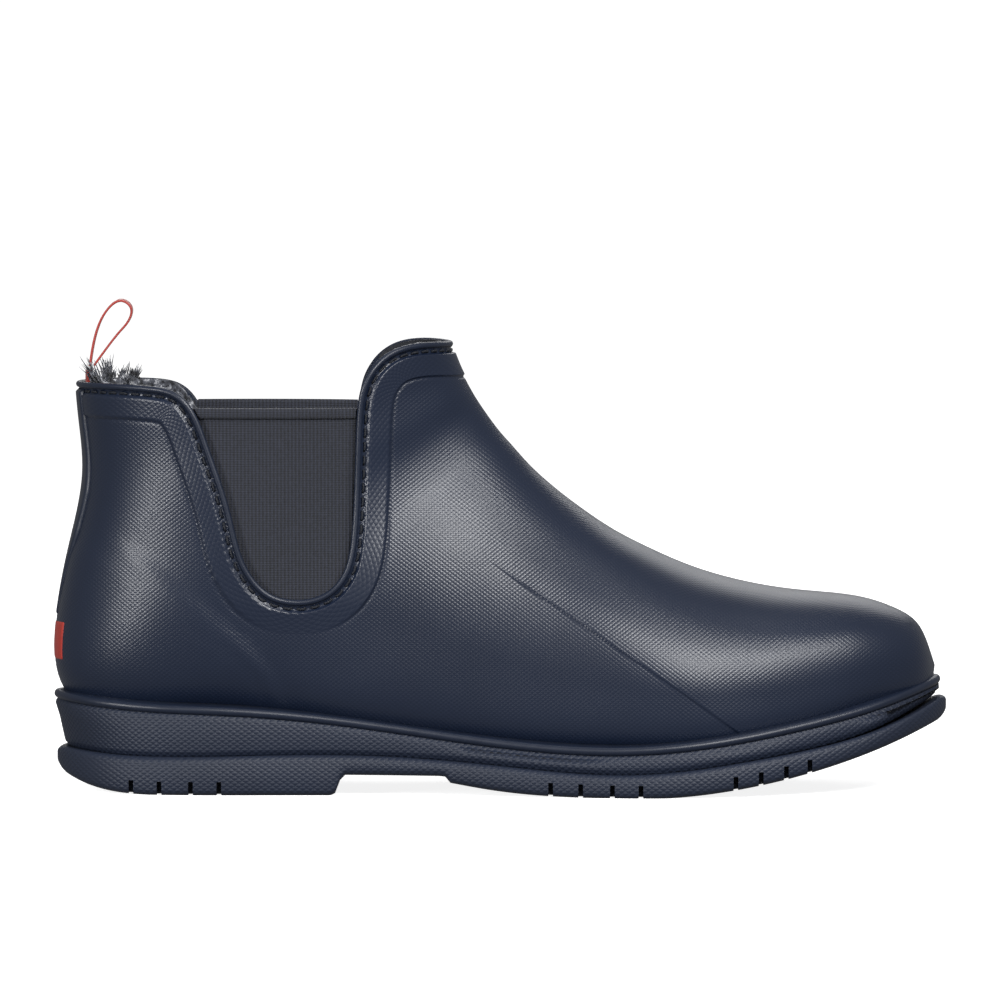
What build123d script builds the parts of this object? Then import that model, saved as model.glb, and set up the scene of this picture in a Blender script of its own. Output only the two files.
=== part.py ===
"""Ankle deck boot, right foot: moulded upper with two elastic gores, pile lining and a rubber sole.

Millimetres. +X is the toe, -Y the outer (lateral) side, +Z up. The origin is on the ground under the
middle of the boot. The pattern points below are drawn at one pattern size and graded to the sizes wanted.
"""

from build123d import *
import os
from math import cos, hypot, pi, sin

# ---- overall sizes -------------------------------------------------------------------------------
BOOT_LENGTH = 285.0
BALL_WIDTH = 98.5
COLLAR_HEIGHT = 142.5

# The size at which the pattern points are drawn.
PATTERN_LENGTH = 285.0
PATTERN_WIDTH = 98.5
PATTERN_HEIGHT = 142.5

# ---- thicknesses and clearances ------------------------------------------------------------------
UPPER_WALL = 2.2
SEWN_LAYER = 1.3        # gore webbing, heel counter and collar tape share this layer
LINING_THICKNESS = 3.2
LAYER_GAP = 0.12        # between layers of the same body
PANEL_GAP = 0.3         # between panels side by side in one layer
LOOSE_GAP = 1.8         # round the loose footbed
FOOTBED_REST = 0.5      # under the loose footbed
BOARD_THICKNESS = 2.0
FOAM_THICKNESS = 4.0
COVER_THICKNESS = 1.6

# ---- edges, seams and trims ----------------------------------------------------------------------
BEAD_WIDTH = 1.7
BEAD_HEIGHT = 0.8
GROOVE_WIDTH = 2.0
GROOVE_DEPTH = 0.6
STITCH_LENGTH = 3.0
STITCH_PITCH = 4.4
STITCH_WIDTH = 0.8
STITCH_THICKNESS = 0.3
STITCH_SINK = 0.22      # middle of the thread below the skin, clear of the groove's floor
SEAM_MARGIN = 6.0       # how far the gore runs under the upper
HEM_HEIGHT = 3.4
HEM_THICKNESS = 1.1
LINING_BELOW_EDGE = 1.0
PILE_ABOVE_COLLAR = 1.4
STAY_THICKNESS = 1.2
LABEL_WIDTH = 24.0
LABEL_HEIGHT = 12.5
LABEL_THICKNESS = 0.9

# ---- sole ----------------------------------------------------------------------------------------
FLANGE_STEP = 2.0       # how far the outsole flange stands out past the sidewall
TOE_STEP = 2.3          # the same at the toe; at the heel they are flush
SOLE_BEAD_STEP = 0.9
SOLE_BEAD_HEIGHT = 2.6
SEAT_BELOW_BEAD = 6.5   # the upper stands this deep in the sole sidewall
CORE_INSET = 13.0
LASTING_MARGIN = 20.0   # turned-in rim of the upper, under the foot
SHANK_LENGTH = 92.0
SHANK_WIDTH = 13.0
SHANK_THICKNESS = 1.3
SIPE_WIDTH = 1.4
SIPE_DEPTH = 3.2
SIPE_REACH = 9.0        # how far each sipe runs in from the edge of the sole

# ---- pull loop -----------------------------------------------------------------------------------
RIBBON_WIDTH = 12.0
RIBBON_THICKNESS = 0.6
RIBBON_TAIL = 13.0
TAIL_GAP = 1.2          # between the sewn tail and the foot of the loop

# ---- pattern points ------------------------------------------------------------------------------
# One row for each section of the last, from the toe round the heel to the top of the shaft:
# low point (x, z), high point (x, z), lateral and medial half widths, sideways shift, share of the
# height at which it is widest, squareness of the low and of the high half, how much it faces forward,
# and how much of its low point is floor under the foot.
LAST = [
    (137.2, 29.8, 137.2, 44.0, 9.0, 8.0, 6.0, 0.50, 2.3, 2.2, 0.85, 1.0),
    (133.9, 27.2, 133.9, 51.5, 17.0, 17.0, 5.6, 0.46, 2.5, 2.2, 0.70, 1.0),
    (127.0, 25.2, 127.0, 56.8, 24.5, 24.5, 5.0, 0.43, 2.8, 2.2, 0.45, 1.0),
    (116.0, 22.0, 116.0, 60.7, 31.5, 31.5, 4.0, 0.41, 3.1, 2.2, 0.25, 1.0),
    (100.0, 17.6, 100.0, 62.8, 37.5, 37.5, 2.5, 0.39, 3.8, 2.2, 0.10, 1.0),
    (80.0, 13.4, 80.0, 65.6, 42.0, 41.5, 1.0, 0.37, 4.2, 2.1, 0.0, 1.0),
    (57.0, 10.7, 57.0, 72.3, 44.0, 42.5, 0.0, 0.36, 4.6, 2.0, 0.0, 1.0),
    (35.0, 10.2, 38.0, 81.4, 42.5, 41.0, 0.0, 0.36, 4.6, 2.0, 0.0, 1.0),
    (8.0, 11.6, 27.0, 88.6, 39.5, 37.5, 0.0, 0.37, 4.6, 2.0, 0.0, 1.0),
    (-24.0, 15.2, 17.5, 95.9, 36.5, 34.5, 0.0, 0.39, 4.4, 2.0, 0.0, 1.0),
    (-60.0, 19.6, 9.5, 103.0, 34.5, 33.5, 0.0, 0.42, 4.0, 2.0, 0.0, 1.0),
    (-97.0, 22.0, 3.4, 109.8, 33.5, 33.5, 0.0, 0.45, 3.2, 2.0, 0.0, 1.0),
    (-126.5, 23.6, -1.7, 115.7, 33.5, 33.5, 0.0, 0.47, 2.8, 2.0, 0.0, 0.75),
    (-138.8, 33.0, -5.6, 121.2, 34.0, 34.0, 0.0, 0.48, 2.4, 2.0, 0.0, 0.15),
    (-140.6, 56.0, -9.2, 127.0, 34.5, 34.5, 0.0, 0.49, 2.1, 2.1, 0.0, 0.0),
    (-136.2, 79.0, -12.4, 133.2, 35.0, 35.0, 0.0, 0.50, 2.1, 2.1, 0.0, 0.0),
    (-132.2, 101.0, -14.6, 138.6, 35.8, 35.8, 0.0, 0.50, 2.1, 2.1, 0.0, 0.0),
    (-133.4, 118.0, -16.2, 143.6, 36.6, 36.6, 0.0, 0.50, 2.1, 2.1, 0.0, 0.0),
    (-134.4, 129.0, -17.6, 149.2, 37.0, 37.0, 0.0, 0.50, 2.1, 2.1, 0.0, 0.0),
    (-135.2, 139.0, -19.0, 155.0, 37.4, 37.4, 0.0, 0.50, 2.1, 2.1, 0.0, 0.0),
]
TOE_POINT = (138.8, 6.0, 38.8)

# The sole from above: x, lateral and medial half width, and its two ends.
SOLE_HEEL = -141.2
SOLE_TOE = 142.5
SOLE_PLAN = [
    (-136.0, 15.5, 15.5),
    (-124.0, 28.0, 28.0),
    (-103.0, 35.5, 35.5),
    (-72.0, 36.5, 36.5),
    (-38.0, 37.0, 34.0),
    (-4.0, 41.5, 37.5),
    (26.0, 47.0, 44.5),
    (52.0, 49.8, 48.7),
    (79.0, 47.0, 47.5),
    (103.0, 39.5, 43.0),
    (121.0, 29.5, 36.0),
    (134.5, 15.0, 25.5),
]
TOE_SIDE_SHIFT = 6.0

# Side lines of the sole, x and z: top of the sidewall bead, sidewall to outsole seam, and tread.
BEAD_LINE = [(-150.0, 33.0), (-121.0, 29.5), (-84.0, 27.8), (-51.0, 24.8), (1.0, 18.0),
             (42.0, 16.2), (76.0, 19.8), (98.0, 23.9), (120.0, 29.0), (150.0, 38.5)]
SEAM_LINE = [(-150.0, 15.0), (-121.0, 12.4), (-84.0, 12.4), (-40.0, 12.5), (1.0, 9.6),
             (40.0, 7.2), (62.0, 8.9), (80.0, 11.6), (100.0, 15.2), (120.0, 20.4), (150.0, 34.0)]
TREAD_TOE = [(26.0, 0.0), (53.0, 0.0), (72.0, 2.0), (100.0, 7.9), (120.0, 14.2), (150.0, 26.5)]
TREAD_BALL = [(-15.8, 4.2), (-4.0, 2.2), (10.0, 0.7), (26.0, 0.0)]
HEEL_BEVEL = [(-150.0, 14.0), (-137.0, 5.0), (-122.0, 0.7), (-112.0, 0.0)]
HEEL_BREAST = -52.5
BREAST_TOP = (-50.0, 6.5)
WAIST_END = (-17.5, 6.3)

# Top line of the upper in side view: rear collar, down round the gore, and up over the front collar.
TOP_LINE = [(-150.0, 129.6), (-128.0, 129.7), (-111.0, 129.2), (-102.0, 127.0), (-97.0, 121.5),
            (-92.6, 111.0), (-88.0, 98.0), (-84.6, 86.0), (-81.8, 75.5), (-77.8, 68.2),
            (-73.0, 63.8), (-66.0, 61.8), (-59.0, 62.4), (-53.0, 65.6), (-49.2, 71.0),
            (-47.2, 79.0), (-46.2, 92.0), (-45.6, 107.0), (-45.0, 121.0), (-43.8, 128.6),
            (-40.6, 135.0), (-34.6, 140.2), (-27.0, 142.4), (-14.0, 142.4), (6.0, 141.0)]
GORE_TOP = 122.4
GORE_FROM = -101.5
GORE_TO = -39.0
REAR_COLLAR = 129.6
HEEL_ZONE = -100.0      # everything on the back of the heel lies behind this
COUNTER_LINE = [(-160.0, 84.0), (-124.0, 79.0), (-111.0, 70.0), (-98.0, 58.5), (-84.0, 47.5),
                (-75.0, 39.0), (-69.0, 26.0), (-66.0, 10.0)]
# Half width of the heel stay at each height.
STAY_OUTLINE = [(36.0, 4.0), (60.0, 4.0), (72.0, 6.5), (82.0, 9.0), (95.0, 10.5), (124.0, 9.5)]
COUNTER_FOOT = 31.0
LABEL_CENTRE = 47.6
HEEL_SIPES = [-117.0, -108.0, -98.0, -89.0]
BALL_SIPES = [16.0, 25.5, 35.5, 44.5]
TOE_SIPES = [74.5, 82.5, 90.5, 98.0]
# Pull loop, from its rear foot up over the tip and back down: x and z.
LOOP_REAR = [(-130.6, 134.6), (-129.6, 141.0), (-127.6, 148.0), (-124.6, 153.0)]
LOOP_TIP = [(-120.4, 155.4), (-117.6, 153.4), (-118.0, 149.6)]
LOOP_FRONT = [(-121.0, 145.6), (-125.0, 140.6), (-129.4, 134.6)]
LOOP_FOOT = (-130.0, 134.6)
SHANK_CENTRE = -30.0
FOOTBED_TOE = 126.5

FAR = 400.0             # reach of cutters that go right through
CUT_PAST = 5.0          # how far a local cutter runs past a face
CRUMB_VOLUME = 0.02     # specks left by a cut are smaller than this


# ---- grading and small geometry ------------------------------------------------------------------
def grade_x(x):
    """Pattern length to boot length."""
    return x * BOOT_LENGTH / PATTERN_LENGTH


def grade_y(y):
    """Pattern width to boot width."""
    return y * BALL_WIDTH / PATTERN_WIDTH


def grade_z(z):
    """Pattern height to boot height."""
    return z * COLLAR_HEIGHT / PATTERN_HEIGHT


def side_points(points, rise=0.0):
    """Pattern points of a side view, graded, as points in the XZ plane."""
    return [Vector(grade_x(x), 0, grade_z(z) + rise) for x, z in points]


def prism(edges):
    """Closed side outline carried straight across the whole width."""
    face = Face(Wire(edges))
    outward = Vector(0, 2 * FAR, 0)
    return Solid.extrude(face.moved(Location((0, -FAR, 0))), outward)


def through(points):
    """Smooth edge through points."""
    return Edge.make_spline(points)


def polyline(points):
    """Straight edges from point to point."""
    return [Edge.make_line(a, b) for a, b in zip(points, points[1:])]


def below(line, rise=0.0):
    """Everything under a side line raised by rise."""
    top = side_points(line, rise)
    left, right = Vector(top[0].X, 0, -FAR), Vector(top[-1].X, 0, -FAR)
    return prism([through(top)] + polyline([top[-1], right, left, top[0]]))


def between(low_line, low_rise, high_line, high_rise):
    """Everything between two side lines, each raised by its own rise."""
    low, high = side_points(low_line, low_rise), side_points(high_line, high_rise)
    ends = [Edge.make_line(low[-1], high[-1]), Edge.make_line(high[0], low[0])]
    return prism([through(low), ends[0], through(high), ends[1]])


def block(x0, x1, y0, y1, z0, z1):
    """Box between two corners."""
    return Solid.make_box(x1 - x0, y1 - y0, z1 - z0).moved(Location((x0, y0, z0)))


def solids_of(shape):
    """The solids of a boolean result, without the crumbs."""
    return [solid for solid in shape.solids() if solid.volume > CRUMB_VOLUME]


def save(name, shape):
    """Writes one piece to its own STEP file."""
    solids = solids_of(shape)
    export_step(solids[0] if len(solids) == 1 else Compound(solids), f"parts/{name}.step")


# ---- the last ------------------------------------------------------------------------------------
SECTION_POINTS = 28
# Every section runs through its points at the same places, so that the loft stays light.
SECTION_KNOTS = [step / SECTION_POINTS for step in range(SECTION_POINTS + 1)]
NOSE_NARROWING = 0.35   # share of an inset that a forward-facing section takes lengthways instead


def last_section(row, inset):
    """One closed section of the last, moved inward by inset."""
    low_x, low_z, high_x, high_z, lateral, medial, shift = row[:7]
    belly, square_low, square_high, nose, floor = row[7:]
    low = (grade_x(low_x) - inset * nose, grade_z(low_z))
    high = (grade_x(high_x) - inset * nose, grade_z(high_z))
    length = hypot(high[0] - low[0], high[1] - low[1])
    along = ((high[0] - low[0]) / length, (high[1] - low[1]) / length)
    narrowing = inset * (1.0 - NOSE_NARROWING * nose)
    centre = (low[0] + along[0] * length * belly, low[1] + along[1] * length * belly)
    lift = narrowing * (1.0 - floor) + min(narrowing, UPPER_WALL + LAYER_GAP) * floor
    down = length * belly - lift
    up = length * (1.0 - belly) - narrowing
    points = []
    for step in range(SECTION_POINTS):
        turn = pi + 2.0 * pi * step / SECTION_POINTS
        upward, sideways = cos(turn), sin(turn)
        square = square_high if upward > 0 else square_low
        radius = (abs(upward) ** square + abs(sideways) ** square) ** (-1.0 / square)
        rise = radius * upward * (up if upward > 0 else down)
        width = grade_y(medial if sideways > 0 else lateral) - narrowing
        points.append(Vector(centre[0] + along[0] * rise, grade_y(shift) + radius * sideways * width,
                             centre[1] + along[1] * rise))
    return Wire([Edge.make_spline(points, periodic=True, parameters=SECTION_KNOTS)])


def last_solid(inset):
    """The whole closed body of the last, inset from the outer skin."""
    toe = Vertex(grade_x(TOE_POINT[0]) - inset, grade_y(TOE_POINT[1]), grade_z(TOE_POINT[2]))
    return Solid.make_loft([toe] + [last_section(row, inset) for row in LAST])


# ---- the top line --------------------------------------------------------------------------------
TOP_STEPS = 60


def top_line_points(drop, rear_rise=0.0):
    """The top line moved into the upper by drop, with the rear collar raised by rear_rise."""
    edge = through(side_points(TOP_LINE))
    points = []
    for step in range(TOP_STEPS + 1):
        place, heading = edge @ (step / TOP_STEPS), edge % (step / TOP_STEPS)
        rise = rear_rise if place.X < grade_x(GORE_FROM) else 0.0
        points.append(Vector(place.X + heading.Z * drop, 0, place.Z - heading.X * drop + rise))
    return points


def above_top_line(drop, rear_rise=0.0):
    """Everything above the top line and inside the gore window."""
    line = top_line_points(drop, rear_rise)
    left, right = Vector(line[0].X, 0, FAR), Vector(line[-1].X, 0, FAR)
    return prism([through(line)] + polyline([line[-1], right, left, line[0]]))


# ---- upper ---------------------------------------------------------------------------------------
def make_upper(skin, inside, seat_hole):
    """Moulded upper with a stitch groove sunk beside the edge bead and open under the foot."""
    groove = (last_solid(-1.0) - last_solid(GROOVE_DEPTH)) & above_top_line(BEAD_WIDTH + GROOVE_WIDTH)
    shell = skin - inside
    return shell - above_top_line(BEAD_WIDTH + LAYER_GAP) - groove - seat_hole


def make_edge_bead(proud, inside):
    """Round bead along the collar and both gore windows."""
    return ((proud - above_top_line(0.0)) & above_top_line(BEAD_WIDTH)) - inside


# The seam is set out in side view, so it stops where the skin turns away from the side.
LEAST_SIDE_FACING = 0.25


def stitch_places(skin):
    """Where each stitch lies on the skin: lateral and medial point, outward normal and run."""
    line = through(top_line_points(BEAD_WIDTH + GROOVE_WIDTH / 2))
    side_face = max(skin.faces(), key=lambda face: face.area)
    count = int(line.length / STITCH_PITCH)
    places = {"lateral": [], "medial": []}
    for number in range(1, count):
        place, heading = line @ (number / count), line % (number / count)
        hits = side_face.find_intersection_points(Axis(place, Vector(0, 1, 0)))
        for point, normal in hits:
            outward = normal if normal.Y * point.Y > 0 else -normal
            side = "medial" if point.Y > 0 else "lateral"
            if abs(normal.Y) > LEAST_SIDE_FACING:
                along = heading - Vector(0, heading.dot(outward) / outward.Y, 0)
                places[side].append((point, outward, along.normalized()))
    return places


def make_stitches(places):
    """Thread on one side of the boot: one flat bar for each stitch, lying in the groove."""
    half_size = (-STITCH_LENGTH / 2, -STITCH_WIDTH / 2, -STITCH_THICKNESS / 2)
    bars = []
    for point, outward, along in places:
        seat = Plane(origin=point - outward * STITCH_SINK, x_dir=along, z_dir=outward)
        bar = Solid.make_box(STITCH_LENGTH, STITCH_WIDTH, STITCH_THICKNESS)
        centred = bar.moved(Location(half_size))
        bars.append(centred.moved(seat.location))
    return Compound(bars)


def make_back_stay(skin):
    """Thin strip up the back of the heel, widest at the ankle."""
    right = [Vector(0, half, grade_z(z)) for z, half in STAY_OUTLINE]
    left = [Vector(0, -p.Y, p.Z) for p in reversed(right)]
    outline = Face(Wire([through(right), Edge.make_line(right[-1], left[0]), through(left),
                         Edge.make_line(left[-1], right[0])]))
    strip = Solid.extrude(outline.moved(Location((grade_x(HEEL_ZONE), 0, 0))), Vector(-FAR, 0, 0))
    return (last_solid(-STAY_THICKNESS) & strip) - skin


def label_prism(grow):
    """Everything behind the heel that the label covers, grown all round."""
    half_width = LABEL_WIDTH / 2 + grow
    half_height = LABEL_HEIGHT / 2 + grow
    middle = grade_z(LABEL_CENTRE)
    low, high = middle - half_height, middle + half_height
    return block(-FAR, grade_x(HEEL_ZONE), -half_width, half_width, low, high)


# ---- layer between the upper and the lining ------------------------------------------------------
def gore_zone(grow):
    """Box that holds both gore panels, grown all round."""
    rear, front = grade_x(GORE_FROM) - grow, grade_x(GORE_TO) + grow
    return block(rear, front, -FAR, FAR, -FAR, grade_z(GORE_TOP) + grow)


def half_space(side):
    """Everything on one side of the boot."""
    near = block(-FAR, FAR, 0, FAR, -FAR, FAR)
    return near.mirror(Plane.XZ) if side == "lateral" else near


def make_gore(layer, side):
    """Elastic webbing panel that shows in the window and runs under the upper round it."""
    return layer & above_top_line(SEAM_MARGIN) & gore_zone(0.0) & half_space(side)


def make_gore_hem(hem_layer, side):
    """Folded band along the top of the gore, on its outer face."""
    window = above_top_line(-LAYER_GAP)
    band = block(-FAR, FAR, -FAR, FAR, grade_z(GORE_TOP) - HEM_HEIGHT, grade_z(GORE_TOP))
    return hem_layer & window & band & gore_zone(0.0) & half_space(side)


def make_collar_tape(layer, rear):
    """Reinforcing tape inside the edge of the collar, in front of or behind the gores."""
    ring = (layer & above_top_line(SEAM_MARGIN)) - above_top_line(LAYER_GAP) - gore_zone(PANEL_GAP)
    foot = grade_z(GORE_TOP) - SEAM_MARGIN
    if rear:
        return ring & block(-FAR, grade_x(GORE_FROM) - PANEL_GAP, -FAR, FAR, foot, FAR)
    return ring & block(grade_x(GORE_TO) + PANEL_GAP, FAR, -FAR, FAR, foot, FAR)


def make_heel_counter(layer):
    """Stiff cup round the heel, between the upper and the lining."""
    return layer & below(COUNTER_LINE) & block(-FAR, 0, -FAR, FAR, grade_z(COUNTER_FOOT), FAR)


# ---- sole ----------------------------------------------------------------------------------------
END_ROOM = 3.0          # least distance along the boot from an end to the first row of the plan


def plan_prism(inset, heel_inset, toe_inset):
    """Sole outline from above, moved in by its own amounts at the sides, the heel and the toe."""
    heel, toe = grade_x(SOLE_HEEL) + heel_inset, grade_x(SOLE_TOE) - toe_inset
    rows = [row for row in SOLE_PLAN if heel + END_ROOM < grade_x(row[0]) < toe - END_ROOM]
    medial = [Vector(grade_x(x), grade_y(m) - inset, 0) for x, _, m in rows]
    lateral = [Vector(grade_x(x), inset - grade_y(l), 0) for x, l, _ in reversed(rows)]
    ring = medial + [Vector(toe, grade_y(TOE_SIDE_SHIFT), 0)] + lateral + [Vector(heel, 0, 0)]
    start = len(medial) // 2
    face = Face(Wire([Edge.make_spline(ring[start:] + ring[:start], periodic=True)]))
    return Solid.extrude(face.moved(Location((0, 0, -FAR))), Vector(0, 0, 2 * FAR))


def tread_prism():
    """Everything above the tread: bevelled heel, breast, raised waist, ball and toe spring."""
    heel = side_points(HEEL_BEVEL)
    ball = side_points(TREAD_BALL)
    toe = side_points(TREAD_TOE)
    breast = [Vector(grade_x(HEEL_BREAST), 0, 0)] + side_points([BREAST_TOP, WAIST_END])
    top = [Vector(toe[-1].X, 0, FAR), Vector(heel[0].X, 0, FAR)]
    edges = [through(heel)] + polyline([heel[-1]] + breast + [ball[0]])
    edges += [through(ball), through(toe)] + polyline([toe[-1]] + top + [heel[0]])
    return prism(edges)


def sipe_cuts():
    """Short cuts in from both edges of the sole, square to the tread."""
    cuts = []
    for x in (grade_x(place) for place in HEEL_SIPES + BALL_SIPES + TOE_SIPES):
        low, high = tread_height(x) - CUT_PAST, tread_height(x) + SIPE_DEPTH
        for side in (-1, 1):
            half = sole_half_width(x, side)
            y0, y1 = sorted((side * (half - SIPE_REACH), side * (half + CUT_PAST)))
            cuts.append(block(x - SIPE_WIDTH / 2, x + SIPE_WIDTH / 2, y0, y1, low, high))
    return cuts


def straight_share(points, x):
    """Height of a chain of points at x, by straight lines."""
    for (x0, z0), (x1, z1) in zip(points, points[1:]):
        if x0 <= x <= x1:
            return z0 + (z1 - z0) * (x - x0) / (x1 - x0)
    return points[-1][1]


def tread_height(x):
    """Height of the tread above the ground."""
    chain = HEEL_BEVEL + [(HEEL_BREAST, 0.0), BREAST_TOP, WAIST_END] + TREAD_BALL[:-1] + TREAD_TOE
    return grade_z(straight_share(chain, x * PATTERN_LENGTH / BOOT_LENGTH))


def sole_half_width(x, side):
    """Half width of the sole on the lateral (-1) or medial (1) side."""
    column = 1 if side < 0 else 2
    plan = [(row[0], row[column]) for row in SOLE_PLAN]
    return grade_y(straight_share(plan, x * PATTERN_LENGTH / BOOT_LENGTH))


def make_shank(grow):
    """Stiffening strip under the arch, let into the top of the core."""
    middle = grade_x(SHANK_CENTRE)
    reach, half_width = SHANK_LENGTH / 2 + grow, SHANK_WIDTH / 2 + grow
    strip = block(middle - reach, middle + reach, -half_width, half_width, -FAR, FAR)
    top = -SEAT_BELOW_BEAD - LAYER_GAP
    return strip & between(BEAD_LINE, top - SHANK_THICKNESS - grow, BEAD_LINE, top + grow)


# ---- pull loop -----------------------------------------------------------------------------------
LOOP_STEPS = 40


def loop_points(points):
    """Loop points keep their shape and stand on the rear collar."""
    shift = grade_x(LOOP_FOOT[0]) - LOOP_FOOT[0]
    rise = grade_z(REAR_COLLAR) - REAR_COLLAR
    return [Vector(x + shift, 0, z + rise) for x, z in points]


def tail_zone(grow):
    """Everything behind the heel that the sewn tail of the ribbon covers, grown all round."""
    half_width = RIBBON_WIDTH / 2 + grow
    low = grade_z(REAR_COLLAR) - RIBBON_TAIL - grow
    high = grade_z(REAR_COLLAR) + LOOP_FOOT[1] - REAR_COLLAR - TAIL_GAP + grow
    return block(-FAR, grade_x(HEEL_ZONE), -half_width, half_width, low, high)


def make_pull_loop():
    """Narrow ribbon folded to a loop, standing on the rear collar."""
    centre = through(loop_points(LOOP_REAR + LOOP_TIP + LOOP_FRONT))
    outer, inner = [], []
    for step in range(LOOP_STEPS + 1):
        place, heading = centre @ (step / LOOP_STEPS), centre % (step / LOOP_STEPS)
        across = Vector(-heading.Z, 0, heading.X) * (RIBBON_THICKNESS / 2)
        outer.append(place + across)
        inner.append(place - across)
    face = Face(Wire([through(outer), Edge.make_line(outer[-1], inner[-1]), through(inner),
                      Edge.make_line(inner[0], outer[0])]))
    return Solid.extrude(face.moved(Location((0, -RIBBON_WIDTH / 2, 0))), Vector(0, RIBBON_WIDTH, 0))


# ---- build ---------------------------------------------------------------------------------------
LAYER_OUT = UPPER_WALL + LAYER_GAP
LAYER_IN = LAYER_OUT + SEWN_LAYER
LINING_OUT = LAYER_IN + LAYER_GAP
LINING_IN = LINING_OUT + LINING_THICKNESS
# Heights above or below the line of the sole bead.
SEAT = -SEAT_BELOW_BEAD
BOARD_TOP = SEAT + UPPER_WALL + LAYER_GAP + BOARD_THICKNESS
FOAM_BASE = BOARD_TOP + FOOTBED_REST
FOAM_TOP = FOAM_BASE + FOAM_THICKNESS
COVER_TOP = FOAM_TOP + COVER_THICKNESS


def build_upper(skin, inside):
    """The moulded upper and what is fixed on its outside."""
    seat_hole = plan_prism(LASTING_MARGIN, LASTING_MARGIN + FLANGE_STEP, LASTING_MARGIN + 2 * FLANGE_STEP)
    seat_hole = seat_hole & below(BEAD_LINE, SEAT + 1.5 * UPPER_WALL)
    save("upper_shell", make_upper(skin, inside, seat_hole))
    save("edge_bead", make_edge_bead(last_solid(-BEAD_HEIGHT), inside))
    for side, places in stitch_places(skin).items():
        save("stitching_" + side, make_stitches(places))
    above_label = block(-FAR, FAR, -FAR, FAR, grade_z(LABEL_CENTRE), FAR)
    save("back_stay", (make_back_stay(skin) - label_prism(LAYER_GAP)) & above_label)
    save("heel_label", (last_solid(-LABEL_THICKNESS) & label_prism(0.0)) - skin)


def build_sewn_layer():
    """Gores, hems, tape and counter, all between the upper and the lining."""
    layer = last_solid(LAYER_OUT) - last_solid(LAYER_IN)
    hem_layer = last_solid(UPPER_WALL - HEM_THICKNESS) - last_solid(LAYER_OUT - LAYER_GAP / 2)
    for side in ("lateral", "medial"):
        save("gore_" + side, make_gore(layer, side))
        save("gore_hem_" + side, make_gore_hem(hem_layer, side))
    save("collar_tape_rear", make_collar_tape(layer, True) - tail_zone(LAYER_GAP))
    save("collar_tape_front", make_collar_tape(layer, False))
    save("heel_counter", make_heel_counter(layer) - below(BEAD_LINE, BOARD_TOP + PANEL_GAP))
    save("pull_loop_tail", layer & tail_zone(0.0))


def build_inside():
    """The lining and what lies under the foot."""
    lining = last_solid(LINING_OUT) - below(BEAD_LINE, BOARD_TOP + LAYER_GAP) - last_solid(LINING_IN)
    save("pile_lining", lining - above_top_line(LINING_BELOW_EDGE, PILE_ABOVE_COLLAR))
    save("insole_board", last_solid(LAYER_OUT) & below(BEAD_LINE, BOARD_TOP))
    footbed_room = last_solid(LINING_IN + LOOSE_GAP) & block(-FAR, grade_x(FOOTBED_TOE), -FAR, FAR, 0, FAR)
    save("footbed_foam", footbed_room & between(BEAD_LINE, FOAM_BASE, BEAD_LINE, FOAM_TOP))
    save("footbed_cover", footbed_room & between(BEAD_LINE, FOAM_TOP, BEAD_LINE, COVER_TOP))


def build_sole():
    """Sidewall, bead, core, shank and outsole."""
    upper_room = last_solid(-LAYER_GAP)
    core_toe = CORE_INSET + FLANGE_STEP
    wall = plan_prism(FLANGE_STEP, 0.0, TOE_STEP) & between(SEAM_LINE, 0.0, BEAD_LINE, -SOLE_BEAD_HEIGHT)
    save("sole_sidewall", wall - upper_room - plan_prism(CORE_INSET, CORE_INSET, core_toe))
    bead = plan_prism(FLANGE_STEP - SOLE_BEAD_STEP, -SOLE_BEAD_STEP, TOE_STEP - SOLE_BEAD_STEP)
    save("welt_bead", (bead & between(BEAD_LINE, -SOLE_BEAD_HEIGHT, BEAD_LINE, 0.0)) - upper_room)
    core = plan_prism(CORE_INSET + LAYER_GAP, CORE_INSET + LAYER_GAP, core_toe + LAYER_GAP)
    core = core & between(SEAM_LINE, 0.0, BEAD_LINE, SEAT - LAYER_GAP)
    save("midsole_core", core - upper_room - make_shank(LAYER_GAP))
    save("arch_shank", make_shank(0.0))
    outsole = plan_prism(0.0, 0.0, 0.0) & tread_prism() & below(SEAM_LINE)
    for cut in sipe_cuts():
        outsole = outsole - cut
    save("outsole", outsole)


def main():
    os.makedirs("parts", exist_ok=True)
    build_upper(last_solid(0.0), last_solid(UPPER_WALL))
    build_sewn_layer()
    build_inside()
    build_sole()
    save("pull_loop", make_pull_loop())


main()
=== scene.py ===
"""Ankle deck boot for the right foot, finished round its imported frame.

The boot is put together here in the order of its making: last and moulded upper, edge bead and
stitching, gores, heel stay and tab, lining, footbed, sole, pull loop, and then the studio.
"""

import math

import bmesh
import bpy
import numpy as np
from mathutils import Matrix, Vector, noise
from mathutils.bvhtree import BVHTree


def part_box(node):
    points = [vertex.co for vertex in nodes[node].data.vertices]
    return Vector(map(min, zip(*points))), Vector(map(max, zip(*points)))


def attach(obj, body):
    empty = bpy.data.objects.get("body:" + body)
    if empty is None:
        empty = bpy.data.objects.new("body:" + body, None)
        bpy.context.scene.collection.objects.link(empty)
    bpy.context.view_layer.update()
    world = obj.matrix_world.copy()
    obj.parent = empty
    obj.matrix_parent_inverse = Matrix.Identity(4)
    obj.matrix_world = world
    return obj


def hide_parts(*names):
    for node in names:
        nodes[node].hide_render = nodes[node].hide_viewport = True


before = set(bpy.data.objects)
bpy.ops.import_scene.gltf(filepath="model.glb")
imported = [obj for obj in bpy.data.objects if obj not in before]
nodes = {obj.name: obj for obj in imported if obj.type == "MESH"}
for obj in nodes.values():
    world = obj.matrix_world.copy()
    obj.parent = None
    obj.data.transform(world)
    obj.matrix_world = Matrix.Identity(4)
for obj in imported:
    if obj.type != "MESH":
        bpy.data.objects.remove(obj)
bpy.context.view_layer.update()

MM = 0.001

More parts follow.
